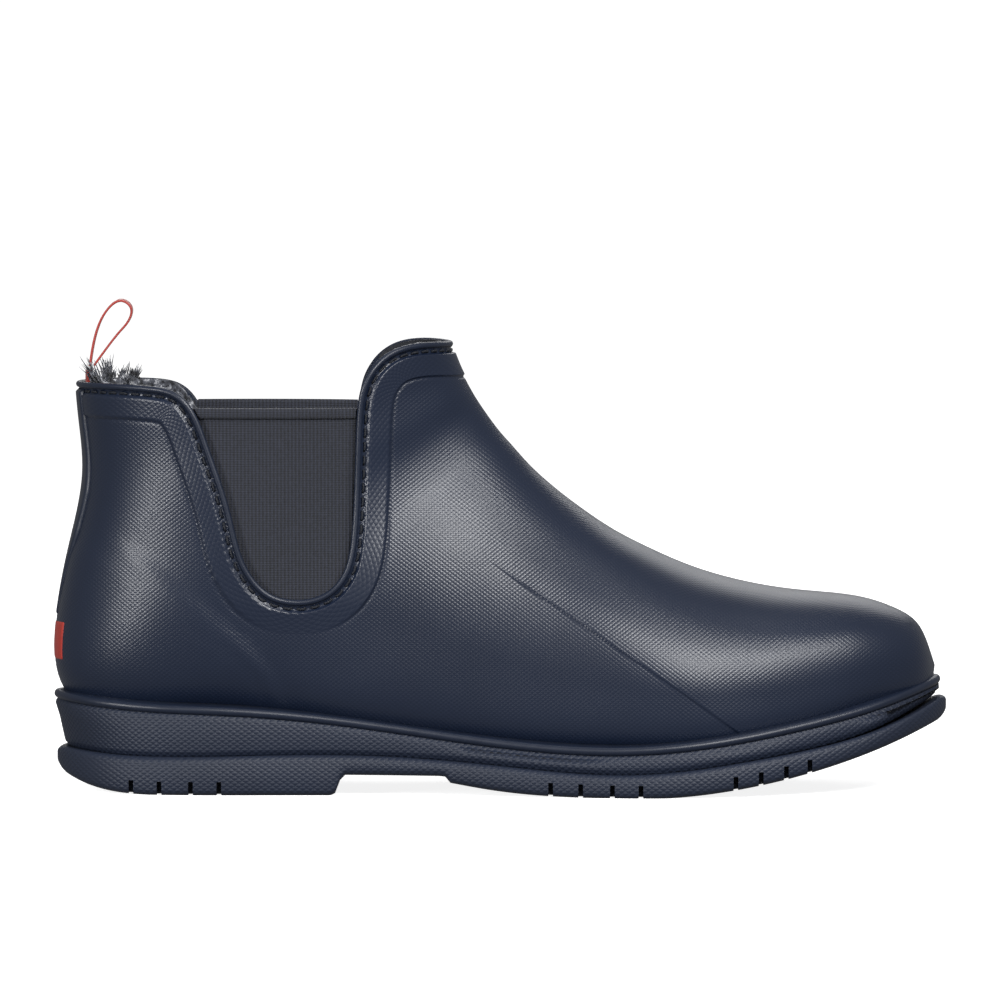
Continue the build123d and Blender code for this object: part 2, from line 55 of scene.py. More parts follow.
# ---- The last -------------------------------------------------------------------------------------
# The boot is lasted: its upper, lining and gores all follow one foot shape, drawn as sections that
# run from the toe, round the heel and up the shaft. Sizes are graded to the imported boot.
LAST_LENGTH, LAST_WIDTH, LAST_HEIGHT = 285.0, 98.6, 142.6
sole_low, sole_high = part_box("outsole")
_, bead_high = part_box("edge_bead")
GRADE = np.array([(2 * sole_high[0] / MM) / LAST_LENGTH,
                  ((sole_high[1] - sole_low[1]) / MM) / LAST_WIDTH,
                  (bead_high[2] / MM) / LAST_HEIGHT])
# low point x and z, high point x and z, lateral and medial half widths, sideways shift, widest
# place, squareness of the low and the high half.
LAST_SECTIONS = np.array([
    (137.2, 29.8, 137.2, 44.0, 9.0, 8.0, 6.0, 0.50, 2.3, 2.2),
    (133.9, 27.2, 133.9, 51.5, 17.0, 17.0, 5.6, 0.46, 2.5, 2.2),
    (127.0, 25.2, 127.0, 56.8, 24.5, 24.5, 5.0, 0.43, 2.8, 2.2),
    (116.0, 22.0, 116.0, 60.7, 31.5, 31.5, 4.0, 0.41, 3.1, 2.2),
    (100.0, 17.6, 100.0, 62.8, 37.5, 37.5, 2.5, 0.39, 3.8, 2.2),
    (80.0, 13.4, 80.0, 65.6, 42.0, 41.5, 1.0, 0.37, 4.2, 2.1),
    (57.0, 10.7, 57.0, 72.3, 44.0, 42.5, 0.0, 0.36, 4.6, 2.0),
    (35.0, 10.2, 38.0, 81.4, 42.5, 41.0, 0.0, 0.36, 4.6, 2.0),
    (8.0, 11.6, 27.0, 88.6, 39.5, 37.5, 0.0, 0.37, 4.6, 2.0),
    (-24.0, 15.2, 17.5, 95.9, 36.5, 34.5, 0.0, 0.39, 4.4, 2.0),
    (-60.0, 19.6, 9.5, 103.0, 34.5, 33.5, 0.0, 0.42, 4.0, 2.0),
    (-97.0, 22.0, 3.4, 109.8, 33.5, 33.5, 0.0, 0.45, 3.2, 2.0),
    (-126.5, 23.6, -1.7, 115.7, 33.5, 33.5, 0.0, 0.47, 2.8, 2.0),
    (-138.8, 33.0, -5.6, 121.2, 34.0, 34.0, 0.0, 0.48, 2.4, 2.0),
    (-140.6, 56.0, -9.2, 127.0, 34.5, 34.5, 0.0, 0.49, 2.1, 2.1),
    (-136.2, 79.0, -12.4, 133.2, 35.0, 35.0, 0.0, 0.50, 2.1, 2.1),
    (-132.2, 101.0, -14.6, 138.6, 35.8, 35.8, 0.0, 0.50, 2.1, 2.1),
    (-133.4, 118.0, -16.2, 143.6, 36.6, 36.6, 0.0, 0.50, 2.1, 2.1),
    (-134.4, 129.0, -17.6, 149.2, 37.0, 37.0, 0.0, 0.50, 2.1, 2.1),
    (-135.2, 139.0, -19.0, 155.0, 37.4, 37.4, 0.0, 0.50, 2.1, 2.1)])
LAST_TIP = (138.8, 6.0, 38.8)
RINGS, RING_POINTS = 230, 176
RING_CROWDING = 1.15        # rings lie closer together at the toe
SHAFT_AXIS = -75.0          # x of the middle of the shaft, from where the skin is looked for


def smooth_run(rows, places, knots=None):
    """A natural cubic spline through rows, read at places from 0 to 1."""
    rows = np.asarray(rows, float)
    if knots is None:
        steps = np.linalg.norm(np.diff(rows, axis=0), axis=1)
        knots = np.concatenate([[0], np.cumsum(steps)])
    knots = knots / knots[-1]
    gap = np.diff(knots)
    count = len(knots)
    system, wanted = np.eye(count), np.zeros_like(rows)
    for i in range(1, count - 1):
        system[i, i - 1:i + 2] = gap[i - 1], 2 * (gap[i - 1] + gap[i]), gap[i]
        wanted[i] = 6 * ((rows[i + 1] - rows[i]) / gap[i] - (rows[i] - rows[i - 1]) / gap[i - 1])
    bend = np.linalg.solve(system, wanted)
    span = np.clip(np.searchsorted(knots, places, side="right") - 1, 0, count - 2)
    width = gap[span][:, None]
    after = (np.asarray(places) - knots[span])[:, None]
    before = width - after
    return ((bend[span] * before ** 3 + bend[span + 1] * after ** 3) / (6 * width)
            + (rows[span] / width - bend[span] * width / 6) * before
            + (rows[span + 1] / width - bend[span + 1] * width / 6) * after)


def last_ring(section):
    """Points round one section of the last, starting under the foot."""
    low, high = np.array(section[0:2]), np.array(section[2:4])
    lateral, medial, shift, widest, square_low, square_high = section[4:]
    length = np.linalg.norm(high - low)
    along = (high - low) / length
    centre = low + along * length * widest
    turn = math.pi + np.arange(RING_POINTS) * 2 * math.pi / RING_POINTS
    rise, side = np.cos(turn), np.sin(turn)
    square = np.where(rise > 0, square_high, square_low)
    reach = (np.abs(rise) ** square + np.abs(side) ** square) ** (-1 / square)
    up = reach * rise * np.where(rise > 0, length * (1 - widest), length * widest)
    out = reach * side * np.where(side > 0, medial, lateral)
    return np.stack([centre[0] + along[0] * up, shift + out, centre[1] + along[1] * up], axis=1)


def make_skin():
    """The outer skin of the last as a grid of points and outward normals, in millimetres."""
    rings = [np.tile(LAST_TIP, (RING_POINTS, 1))] + [last_ring(row) for row in LAST_SECTIONS]
    rings = np.array(rings)
    steps = np.linalg.norm(np.diff(rings, axis=0), axis=2).mean(axis=1)
    knots = np.concatenate([[0], np.cumsum(steps)])
    places = np.linspace(0, 1, RINGS) ** RING_CROWDING
    grid = smooth_run(rings.reshape(len(rings), -1), places, knots)
    grid = grid.reshape(RINGS, RING_POINTS, 3) * GRADE
    run = np.gradient(grid, axis=0)
    round_it = np.roll(grid, -1, axis=1) - np.roll(grid, 1, axis=1)
    normal = np.cross(run, round_it)
    normal[0] = (1, 0, 0)
    normal /= np.linalg.norm(normal, axis=2, keepdims=True)
    if normal[RINGS // 3, RING_POINTS // 4, 1] * (grid[RINGS // 3, RING_POINTS // 4, 1]) < 0:
        normal = -normal
        normal[0] = (1, 0, 0)
    return grid, normal


skin, skin_normal = make_skin()
skin_points = skin.reshape(-1, 3)
skin_normals = skin_normal.reshape(-1, 3)
skin_faces = [(i * RING_POINTS + j, i * RING_POINTS + (j + 1) % RING_POINTS,
               (i + 1) * RING_POINTS + (j + 1) % RING_POINTS, (i + 1) * RING_POINTS + j)
              for i in range(RINGS - 1) for j in range(RING_POINTS)]
skin_tree = BVHTree.FromPolygons([Vector(p) for p in skin_points], skin_faces)


def meet_skin(start, heading):
    """Where a ray from inside the last meets the skin: point and smooth outward normal."""
    place, _, face, _ = skin_tree.ray_cast(Vector(start), Vector(heading))
    if place is None:
        return None
    corners = list(skin_faces[face])
    near = np.linalg.norm(skin_points[corners] - np.array(place), axis=1)
    weight = 1 / (near ** 2 + 1e-6)
    normal = (skin_normals[corners] * weight[:, None]).sum(axis=0)
    return np.array(place), normal / np.linalg.norm(normal)


def on_side(x, z, side, depth=0.0):
    """The skin's point at x and z on one side of the boot, sunk by depth along its normal."""
    met = meet_skin((x, 0, z), (0, side, 0))
    return None if met is None else met[0] - met[1] * depth


# ---- Top line ------------------------------------------------------------------------------------
# The cut edge of the upper: along the rear collar, down round the gore and up over the front
# collar, the same on both sides. Bead, stitching and facing all run at set distances from it.
TOP_LINE = [(-150.0, 129.6), (-128.0, 129.7), (-111.0, 129.2), (-102.0, 127.0), (-97.0, 121.5),
            (-92.6, 111.0), (-88.0, 98.0), (-84.6, 86.0), (-81.8, 75.5), (-77.8, 68.2),
            (-73.0, 63.8), (-66.0, 61.8), (-59.0, 62.4), (-53.0, 65.6), (-49.2, 71.0),
            (-47.2, 79.0), (-46.2, 92.0), (-45.6, 107.0), (-45.0, 121.0), (-43.8, 128.6),
            (-40.6, 135.0), (-34.6, 140.2), (-27.0, 142.4), (-14.0, 142.4), (6.0, 141.0)]
TOP_SAMPLES = 700
COLLAR_STEP = 0.7           # between points where the line crosses the back and the front
SHAFT_MIDDLE = np.array([SHAFT_AXIS, 0, 100.0])
top_line = smooth_run(np.array(TOP_LINE) * GRADE[[0, 2]], np.linspace(0, 1, TOP_SAMPLES))
top_heading = np.gradient(top_line, axis=0)
top_heading /= np.linalg.norm(top_heading, axis=1, keepdims=True)
top_inward = np.stack([top_heading[:, 1], -top_heading[:, 0]], axis=1)
top_run = np.concatenate([[0], np.cumsum(np.linalg.norm(np.diff(top_line, axis=0), axis=1))])


def from_top_line(points):
    """Distance of each point below the top line in side view, and its place along it, in mm."""
    flat = points[:, [0, 2]]
    distance, run = np.empty(len(flat)), np.empty(len(flat))
    for start in range(0, len(flat), 4000):
        part = flat[start:start + 4000]
        away = part[:, None, :] - top_line[None, :, :]
        near = (away ** 2).sum(axis=2).argmin(axis=1)
        offset = away[np.arange(len(part)), near]
        distance[start:start + 4000] = (offset * top_inward[near]).sum(axis=1)
        far = np.linalg.norm(offset, axis=1)
        distance[start:start + 4000] = np.where(distance[start:start + 4000] > 0, far, -far)
        run[start:start + 4000] = top_run[near] + (offset * top_heading[near]).sum(axis=1)
    return distance, run


def run_beside(distance, depth=0.0):
    """One side's path on the skin at a distance from the top line, from heel to front centre."""
    line = top_line + top_inward * distance
    path = []
    for across in np.arange(0.0, 25.0, COLLAR_STEP):
        rise = float(np.interp(-133.0, line[:, 0], line[:, 1]))
        met = meet_skin((SHAFT_AXIS, -across, rise), (-1, 0, 0))
        path.append(met[0] - met[1] * depth)
    rear = path[-1][0]
    front = []
    for across in np.arange(0.0, 22.0, COLLAR_STEP):
        rise = float(line[line[:, 0] > -30][:, 1].max())
        met = meet_skin((SHAFT_AXIS, -across, rise), (1, 0, 0))
        rise = float(np.interp(met[0][0], line[-200:, 0], line[-200:, 1]))
        met = meet_skin((SHAFT_AXIS, -across, rise), (1, 0, 0))
        front.append(met[0] - met[1] * depth)
    for x, z in line[::2]:
        if rear + 0.5 < x and x < front[-1][0] - 0.5:
            path.append(on_side(x, z, -1, depth))
    return np.array(path + front[::-1])


def both_sides(path):
    """A closed loop from one side's path and its mirror image."""
    return np.concatenate([path, path[-2:0:-1] * (1, -1, 1)])


def even_steps(path, step, closed=False):
    """The path with its points spread evenly, about step apart."""
    if closed:
        path = np.concatenate([path, path[:1]])
    run = np.concatenate([[0], np.cumsum(np.linalg.norm(np.diff(path, axis=0), axis=1))])
    count = max(2, int(round(run[-1] / step)))
    places = np.linspace(0, run[-1], count + 1)
    if closed:
        places = places[:-1]
    return np.stack([np.interp(places, run, path[:, k]) for k in range(3)], axis=1)


def make_piece(name, points, faces, body):
    """A mesh piece from points in millimetres, riding on a body."""
    mesh = bpy.data.meshes.new(name)
    mesh.from_pydata([tuple(p * MM) for p in np.asarray(points)], [], faces)
    mesh.validate()
    mesh.shade_smooth()
    piece = bpy.data.objects.new(name, mesh)
    bpy.context.scene.collection.objects.link(piece)
    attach(piece, body)
    return piece


def face_outward(piece):
    """Turns all faces of a closed piece outward."""
    work = bmesh.new()
    work.from_mesh(piece.data)
    bmesh.ops.recalc_face_normals(work, faces=work.faces)
    work.to_mesh(piece.data)
    work.free()


# Side lines of the sole: top of the welt bead, sidewall to outsole seam and tread.
BEAD_LINE = [(-150.0, 33.0), (-121.0, 29.5), (-84.0, 27.8), (-51.0, 24.8), (1.0, 18.0),
             (42.0, 16.2), (76.0, 19.8), (98.0, 23.9), (120.0, 29.0), (150.0, 38.5)]


def side_line(points):
    """A function that gives the height of a side line at any x."""
    dense = smooth_run(np.array(points) * GRADE[[0, 2]], np.linspace(0, 1, 400))
    return lambda x: np.interp(x, dense[:, 0], dense[:, 1])


bead_height = side_line(BEAD_LINE)

# ---- Moulded upper --------------------------------------------------------------------------------
# Soft PVC moulded over the last in one piece, 2.2 mm thick, with a grained facing band round the
# gores and collar, a sunk stitch groove, and the edge of the inner counter showing through.
UPPER_WALL = 2.2
UPPER_SINK = 5.0            # how far it stands in the sole
EDGE_AT = 0.8               # its cut edge lies under the bead
GROOVE_AT, GROOVE_HALF, GROOVE_DEEP = 2.75, 1.0, 0.6
BAND_FROM, BAND_TO, BAND_RISE = 3.9, 10.8, 0.55
EDGE_LINE_DEEP = 0.22       # a scored line round the outside of the facing
CREASE_STEP = 0.3           # the vamp side of the mould line stands this much higher
COUNTER_RISE = 0.7          # the counter's cup, and again its rolled edge
SWELLS = ((0.022, 0.35), (0.06, 0.1))   # slow waviness of a soft moulding: per mm, and mm
VAMP_CREASE = [(-12.0, 82.0), (-6.5, 77.0), (19.0, 59.0), (38.0, 46.3), (57.0, 33.5), (75.0, 20.5)]
COUNTER_EDGE = [(-150.0, 83.0), (-122.0, 78.5), (-111.0, 70.5), (-100.0, 61.0), (-84.5, 48.5),
                (-76.5, 40.5), (-70.8, 31.0), (-69.0, 22.0)]


def ease(value, start, end):
    """0 before start, 1 after end, and smooth between."""
    share = np.clip((value - start) / (end - start), 0, 1)
    return share * share * (3 - 2 * share)


def from_line(points, line):
    """Signed distance in side view from a drawn line, positive on its upper right."""
    dense = smooth_run(np.array(line) * GRADE[[0, 2]], np.linspace(0, 1, 160))
    heading = np.gradient(dense, axis=0)
    heading /= np.linalg.norm(heading, axis=1, keepdims=True)
    away = points[:, None, [0, 2]] - dense[None]
    near = (away ** 2).sum(axis=2).argmin(axis=1)
    offset = away[np.arange(len(points)), near]
    sign = heading[near, 0] * offset[:, 1] - heading[near, 1] * offset[:, 0]
    return np.linalg.norm(offset, axis=1) * np.sign(sign)


def upper_relief(points, distance):
    """Height of the moulded relief over the plain last, in mm, and where the facing band lies."""
    groove = np.clip(1 - ((distance - GROOVE_AT) / GROOVE_HALF) ** 2, 0, 1) ** 0.6
    # the facing fades out under the gore
    beside_gore = ease(points[:, 2], 50, 62)
    band = ease(distance, BAND_FROM - 0.4, BAND_FROM + 0.1) * (1 - ease(distance, BAND_TO - 0.35, BAND_TO))
    edge_line = np.exp(-((distance - BAND_TO - 0.35) / 0.4) ** 2) * beside_gore
    crease = from_line(points, VAMP_CREASE)
    step = CREASE_STEP * ease(crease, -0.35, 0.35) * (1 - ease(crease, 0.4, 14))
    step *= ease(points[:, 0], VAMP_CREASE[0][0] + 4, VAMP_CREASE[0][0] + 26)
    counter = from_line(points, COUNTER_EDGE)
    raised = COUNTER_RISE * (1 - ease(counter, -6.0, 1.6) + np.exp(-(counter / 2.0) ** 2))
    raised *= 1 - ease(points[:, 2], 72, 84)
    swell = np.array([sum(noise.noise(Vector(p * scale)) * tall for scale, tall in SWELLS)
                      for p in points])
    relief = band * beside_gore * BAND_RISE - edge_line * EDGE_LINE_DEEP - groove * GROOVE_DEEP
    return relief + step + raised + swell * ease(distance, 8, 30), band


def cut_along(work, reach, level):
    """Cuts the mesh where reach, one value for each vertex, passes level, and drops what is below."""
    on_line = set()
    for vertex in work.verts:
        if abs(reach[vertex] - level) < 0.06:
            reach[vertex] = level
            on_line.add(vertex)
    for edge in list(work.edges):
        first, last = edge.verts
        before, after = reach[first] - level, reach[last] - level
        if before * after < 0:
            _, made = bmesh.utils.edge_split(edge, first, before / (before - after))
            reach[made] = level
            on_line.add(made)
    for face in list(work.faces):
        met = [vertex for vertex in face.verts if vertex in on_line]
        joined = any(edge.verts[0] in met and edge.verts[1] in met for edge in face.edges)
        if len(met) == 2 and not joined:
            bmesh.utils.face_split(face, met[0], met[1])
    spare = [face for face in work.faces if min(reach[vertex] for vertex in face.verts) < level - 1e-6]
    bmesh.ops.delete(work, geom=spare, context="FACES")


def refine(work, wanted):
    """Halves the edges whose two ends are wanted."""
    work.verts.index_update()
    edges = [edge for edge in work.edges if wanted[edge.verts[0].index] and wanted[edge.verts[1].index]]
    bmesh.ops.subdivide_edges(work, edges=edges, cuts=1, use_grid_fill=True)


def make_upper():
    """The part of the last's skin below the top line, with its relief and a wall behind it."""
    centres = np.array([skin_points[list(face)].mean(axis=0) for face in skin_faces])
    distance, _ = from_top_line(centres)
    keep = (distance > -3.0) & (centres[:, 2] > bead_height(centres[:, 0]) - UPPER_SINK)
    work = bmesh.new()
    verts = [work.verts.new(p) for p in skin_points]
    for face, wanted in zip(skin_faces, keep):
        if wanted:
            work.faces.new([verts[i] for i in face])
    bmesh.ops.delete(work, geom=[v for v in work.verts if not v.link_faces], context="VERTS")
    bmesh.ops.remove_doubles(work, verts=work.verts, dist=0.001)
    for near_edge, near_crease in ((16.5, 3.0), (15.0, 1.6)):
        points = np.array([v.co for v in work.verts])
        near = np.abs(from_top_line(points)[0]) < near_edge
        near |= np.abs(from_line(points, VAMP_CREASE)) < near_crease
        refine(work, near)
    distance, _ = from_top_line(np.array([v.co for v in work.verts]))
    cut_along(work, dict(zip(work.verts, distance)), EDGE_AT)
    bmesh.ops.delete(work, geom=[v for v in work.verts if not v.link_faces], context="VERTS")
    bmesh.ops.recalc_face_normals(work, faces=work.faces)
    work.normal_update()
    points = np.array([v.co for v in work.verts])
    normals = np.array([v.normal for v in work.verts])
    if (normals[:, 1] * points[:, 1]).sum() < 0:
        bmesh.ops.reverse_faces(work, faces=work.faces)
        normals = -normals
    distance, run = from_top_line(points)
    relief, band = upper_relief(points, distance)
    points = points + normals * relief[:, None]
    mesh = bpy.data.meshes.new("upper")
    work.to_mesh(mesh)
    work.free()
    mesh.vertices.foreach_set("co", (points * MM).ravel().astype(np.float32))
    facing = mesh.attributes.new("facing", "FLOAT", "POINT")
    facing.data.foreach_set("value", band.astype(np.float32))
    seam = mesh.attributes.new("seam_place", "FLOAT_VECTOR", "POINT")
    seam.data.foreach_set("vector", np.stack([run, distance, run * 0], 1).ravel().astype(np.float32))
    mesh.update()
    mesh.shade_smooth()
    piece = bpy.data.objects.new("moulded_upper", mesh)
    bpy.context.scene.collection.objects.link(piece)
    wall = piece.modifiers.new("wall", "SOLIDIFY")
    wall.thickness = UPPER_WALL * MM
    wall.offset = -1
    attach(piece, "boot")
    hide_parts("upper_shell")
    return piece


upper = make_upper()


def srgb(text):
    """An sRGB hex colour as linear RGBA."""
    parts = [int(text[i:i + 2], 16) / 255 for i in (1, 3, 5)]
    return [c / 12.92 if c <= 0.04045 else ((c + 0.055) / 1.055) ** 2.4 for c in parts] + [1.0]


def add(tree, kind, inputs=None, **settings):
    """Adds a node with its settings; an input given as a node or a socket is linked, else set."""
    made = tree.nodes.new(kind)
    for name, value in settings.items():
        setattr(made, name, value)
    for socket, value in (inputs or {}).items():
        if isinstance(value, bpy.types.Node):
            value = value.outputs[0]
        if isinstance(value, bpy.types.NodeSocket):
            tree.links.new(value, made.inputs[socket])
        else:
            made.inputs[socket].default_value = value
    return made


def new_finish(name):
    """An empty material with its shader and output."""
    finish = bpy.data.materials.new(name)
    finish.use_nodes = True
    tree = finish.node_tree
    tree.nodes.clear()
    shader = add(tree, "ShaderNodeBsdfPrincipled")
    add(tree, "ShaderNodeOutputMaterial", {"Surface": shader.outputs[0]})
    return finish, tree, shader


def two_tone(tree, shader, share, dark, light, height, depth, strength=1.0):
    """Colours a finish from dark to light by share, and raises its surface by height."""
    tone = add(tree, "ShaderNodeMix", {0: share, 6: srgb(dark), 7: srgb(light)}, data_type="RGBA")
    tree.links.new(tone.outputs[2], shader.inputs["Base Color"])
    bump = add(tree, "ShaderNodeBump", {"Height": height, "Distance": depth, "Strength": strength})
    tree.links.new(bump.outputs[0], shader.inputs["Normal"])


def lozenges(tree, across, along, wide, tall):
    """Staggered raised lozenges with fine grooves between, wide by tall mm each."""
    left = add(tree, "ShaderNodeMath", {0: across, 1: math.pi / wide}, operation="MULTIPLY")
    up = add(tree, "ShaderNodeMath", {0: along, 1: math.pi / tall}, operation="MULTIPLY")
    waves = []
    for turn in ("ADD", "SUBTRACT"):
        slant = add(tree, "ShaderNodeMath", {0: left, 1: up}, operation=turn)
        waves.append(add(tree, "ShaderNodeMath", {0: slant}, operation="SINE"))
    crossed = add(tree, "ShaderNodeMath", {0: waves[0], 1: waves[1]}, operation="MULTIPLY")
    return add(tree, "ShaderNodeMath", {0: crossed}, operation="ABSOLUTE").outputs[0]


NARROW_BLEND = 12.0         # how soon one direction's grain gives way to the next


def grain_all_round(tree, wide, tall):
    """Lozenge grain laid on from the side, the front and above, in millimetres."""
    place = add(tree, "ShaderNodeNewGeometry")
    spot = add(tree, "ShaderNodeSeparateXYZ",
               {0: add(tree, "ShaderNodeVectorMath", {0: place.outputs["Position"], 1: (1000,) * 3},
                       operation="MULTIPLY").outputs[0]})
    facing = add(tree, "ShaderNodeSeparateXYZ", {0: place.outputs["Normal"]})
    share = []
    for k in range(3):
        size = add(tree, "ShaderNodeMath", {0: facing.outputs[k]}, operation="ABSOLUTE")
        share.append(add(tree, "ShaderNodeMath", {0: size, 1: NARROW_BLEND}, operation="POWER"))
    pair = add(tree, "ShaderNodeMath", {0: share[0], 1: share[1]}, operation="ADD")
    total = add(tree, "ShaderNodeMath", {0: pair, 1: share[2]}, operation="ADD")
    x, y, z = spot.outputs
    layers = [lozenges(tree, y, z, wide, tall), lozenges(tree, x, z, wide, tall),
              lozenges(tree, x, y, wide, tall)]
    summed = None
    for weight, layer in zip(share, layers):
        term = add(tree, "ShaderNodeMath", {0: weight, 1: layer}, operation="MULTIPLY")
        if summed is not None:
            term = add(tree, "ShaderNodeMath", {0: summed, 1: term}, operation="ADD")
        summed = term
    return add(tree, "ShaderNodeMath", {0: summed, 1: total}, operation="DIVIDE").outputs[0]


def thread_wave(tree, along, pitch):
    """A wave along one axis of the boot that repeats at every thread, its pitch in mm."""
    turns = add(tree, "ShaderNodeMath", {0: along, 1: 2000 * math.pi / pitch}, operation="MULTIPLY")
    return add(tree, "ShaderNodeMath", {0: turns}, operation="SINE").outputs[0]


# Plasticised PVC, matt-tooled: satin, with fine raised pips that break up the highlights.
PVC_NAVY, PVC_NAVY_LIGHT = "#121a2b", "#182236"
PIP_WIDE, PIP_TALL = 1.7, 1.3
FACING_PIP_WIDE, FACING_PIP_TALL = 2.4, 1.6


def moulded_pvc():
    """Navy PVC as it leaves an etched mould, the facing band with its coarser grain."""
    finish, tree, shader = new_finish("moulded navy PVC")
    place = add(tree, "ShaderNodeNewGeometry").outputs["Position"]
    cloud = add(tree, "ShaderNodeTexNoise", {"Vector": place, "Scale": 18.0, "Detail": 4.0})
    pips = grain_all_round(tree, PIP_WIDE, PIP_TALL)
    seam = add(tree, "ShaderNodeSeparateXYZ",
               {0: add(tree, "ShaderNodeAttribute", attribute_name="seam_place").outputs["Vector"]})
    coarse = lozenges(tree, seam.outputs[0], seam.outputs[1], FACING_PIP_WIDE, FACING_PIP_TALL)
    band = add(tree, "ShaderNodeAttribute", attribute_name="facing").outputs["Fac"]
    grain = add(tree, "ShaderNodeMix", {0: band, 2: pips, 3: coarse}).outputs[0]
    rough = add(tree, "ShaderNodeMapRange", {0: cloud.outputs[0], 3: 0.3, 4: 0.38}).outputs[0]
    tree.links.new(rough, shader.inputs["Roughness"])
    two_tone(tree, shader, cloud.outputs[0], PVC_NAVY, PVC_NAVY_LIGHT, grain, 0.0001, 0.5)
    shader.inputs["IOR"].default_value = 1.52
    return finish


upper.data.materials.append(moulded_pvc())

# ---- Edge bead -----------------------------------------------------------------------------------
# A round PVC bead moulded along the cut edge of the upper. It closes the collar and frames both
# gore windows, smoother and a little glossier than the grained upper.
BEAD_RADIUS, BEAD_SIDES = 1.0, 12
BEAD_SUNK = 0.25


def tube(path, radius, sides, closed=True):
    """Points and faces of a round tube along a path, its turn steadied from the shaft's middle."""
    count = len(path)
    heading = np.roll(path, -1, axis=0) - np.roll(path, 1, axis=0)
    if not closed:
        heading[0], heading[-1] = path[1] - path[0], path[-1] - path[-2]
    heading /= np.linalg.norm(heading, axis=1, keepdims=True)
    out = path - SHAFT_MIDDLE
    out = out - heading * (out * heading).sum(axis=1, keepdims=True)
    out /= np.linalg.norm(out, axis=1, keepdims=True)
    side = np.cross(heading, out)
    points, faces = [], []
    for k in range(sides):
        turn = 2 * math.pi * k / sides
        points.append(path + radius * (math.cos(turn) * out + math.sin(turn) * side))
    points = np.stack(points, axis=1).reshape(-1, 3)
    last = count if closed else count - 1
    for i in range(last):
        for k in range(sides):
            a, b = i * sides + k, i * sides + (k + 1) % sides
            c, d = ((i + 1) % count) * sides + (k + 1) % sides, ((i + 1) % count) * sides + k
            faces.append((a, d, c, b))
    if not closed:
        faces.append(tuple(range(sides)))
        faces.append(tuple((count - 1) * sides + k for k in reversed(range(sides))))
    return points, faces


def make_edge_bead():
    """One closed bead round the collar and both windows, its corners eased."""
    path = even_steps(both_sides(run_beside(EDGE_AT, depth=BEAD_SUNK)), 0.9, closed=True)
    for _ in range(3):
        path = (np.roll(path, 1, axis=0) + 2 * path + np.roll(path, -1, axis=0)) / 4
    points, faces = tube(path, BEAD_RADIUS, BEAD_SIDES)
    piece = make_piece("collar_and_gore_bead", points, faces, "boot")
    face_outward(piece)
    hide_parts("edge_bead")
    return piece


# The same PVC from a polished part of the mould: smoother and glossier, with faint scuffs.
def smooth_pvc():
    finish, tree, shader = new_finish("smooth navy PVC")
    place = add(tree, "ShaderNodeNewGeometry").outputs["Position"]
    scuff = add(tree, "ShaderNodeTexNoise", {"Vector": place, "Scale": 220.0, "Detail": 3.0})
    rough = add(tree, "ShaderNodeMapRange", {0: scuff.outputs[0], 3: 0.34, 4: 0.46}).outputs[0]
    tree.links.new(rough, shader.inputs["Roughness"])
    two_tone(tree, shader, scuff.outputs[0], "#121a2b", "#172032", scuff.outputs[0], 0.0001, 0.4)
    return finish


edge_bead = make_edge_bead()
edge_pvc = smooth_pvc()
edge_bead.data.materials.append(edge_pvc)

# ---- Stitching -----------------------------------------------------------------------------------
# A lockstitch of bonded polyester thread, 3.3 mm long, down in the groove beside the bead. Each
# stitch dips into its holes at both ends.
STITCH_PITCH, STITCH_LONG, STITCH_RADIUS = 4.4, 3.3, 0.42
STITCH_POINTS = 0.55        # between points along a stitch


def make_stitches(side, node):
    """One side's row of stitches, each a short bent bar of thread."""
    path = run_beside(GROOVE_AT, depth=GROOVE_DEEP * 0.55)
    path = even_steps(path * (1, -side, 1), STITCH_POINTS)
    points, faces = [], []
    per_stitch, gap = int(STITCH_LONG / STITCH_POINTS), int(STITCH_PITCH / STITCH_POINTS)
    for start in range(gap // 2, len(path) - per_stitch - 1, gap):
        piece = path[start:start + per_stitch + 1]
        inward = SHAFT_MIDDLE - piece
        inward /= np.linalg.norm(inward, axis=1, keepdims=True)
        share = np.linspace(-1, 1, len(piece))[:, None]
        piece = piece + inward * (0.45 * share ** 4 - 0.12)
        part, part_faces = tube(piece, STITCH_RADIUS, 7, closed=False)
        faces += [tuple(i + len(points) for i in face) for face in part_faces]
        points += list(part)
    stitches = make_piece("stitching_" + node, points, faces, "boot")
    face_outward(stitches)
    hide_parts("stitching_" + node)
    return stitches


# Black-navy polyester, twisted and resin bonded: a dull sheen broken by the twist.
def bonded_thread():
    finish, tree, shader = new_finish("bonded polyester thread")
    place = add(tree, "ShaderNodeNewGeometry").outputs["Position"]
    twist = add(tree, "ShaderNodeTexWave", {"Vector": place, "Scale": 1300.0, "Distortion": 1.0},
                bands_direction="DIAGONAL")
    two_tone(tree, shader, twist.outputs[0], "#0e1118", "#1b202b", twist.outputs[0], 0.0001)
    shader.inputs["Roughness"].default_value = 0.6
    return finish


thread = bonded_thread()
for side, node in ((-1, "lateral"), (1, "medial")):
    make_stitches(side, node).data.materials.append(thread)

# ---- Gores ---------------------------------------------------------------------------------------
# Elastic webbing, 1.25 mm thick, woven with upright rubber cores every 1.15 mm. It is sewn behind
# the window and its top edge is folded into a ribbed hem.
GORE_TOP, GORE_FOOT = 122.4 * GRADE[2], 57.0 * GRADE[2]
GORE_DEPTH, GORE_THICK = 2.35, 1.25
RIB_PITCH, WEFT_PITCH = 1.15, 0.75
GORE_ACROSS = 190
HEM_TALL, HEM_THICK, HEM_ROLL = 3.2, 1.0, 0.25


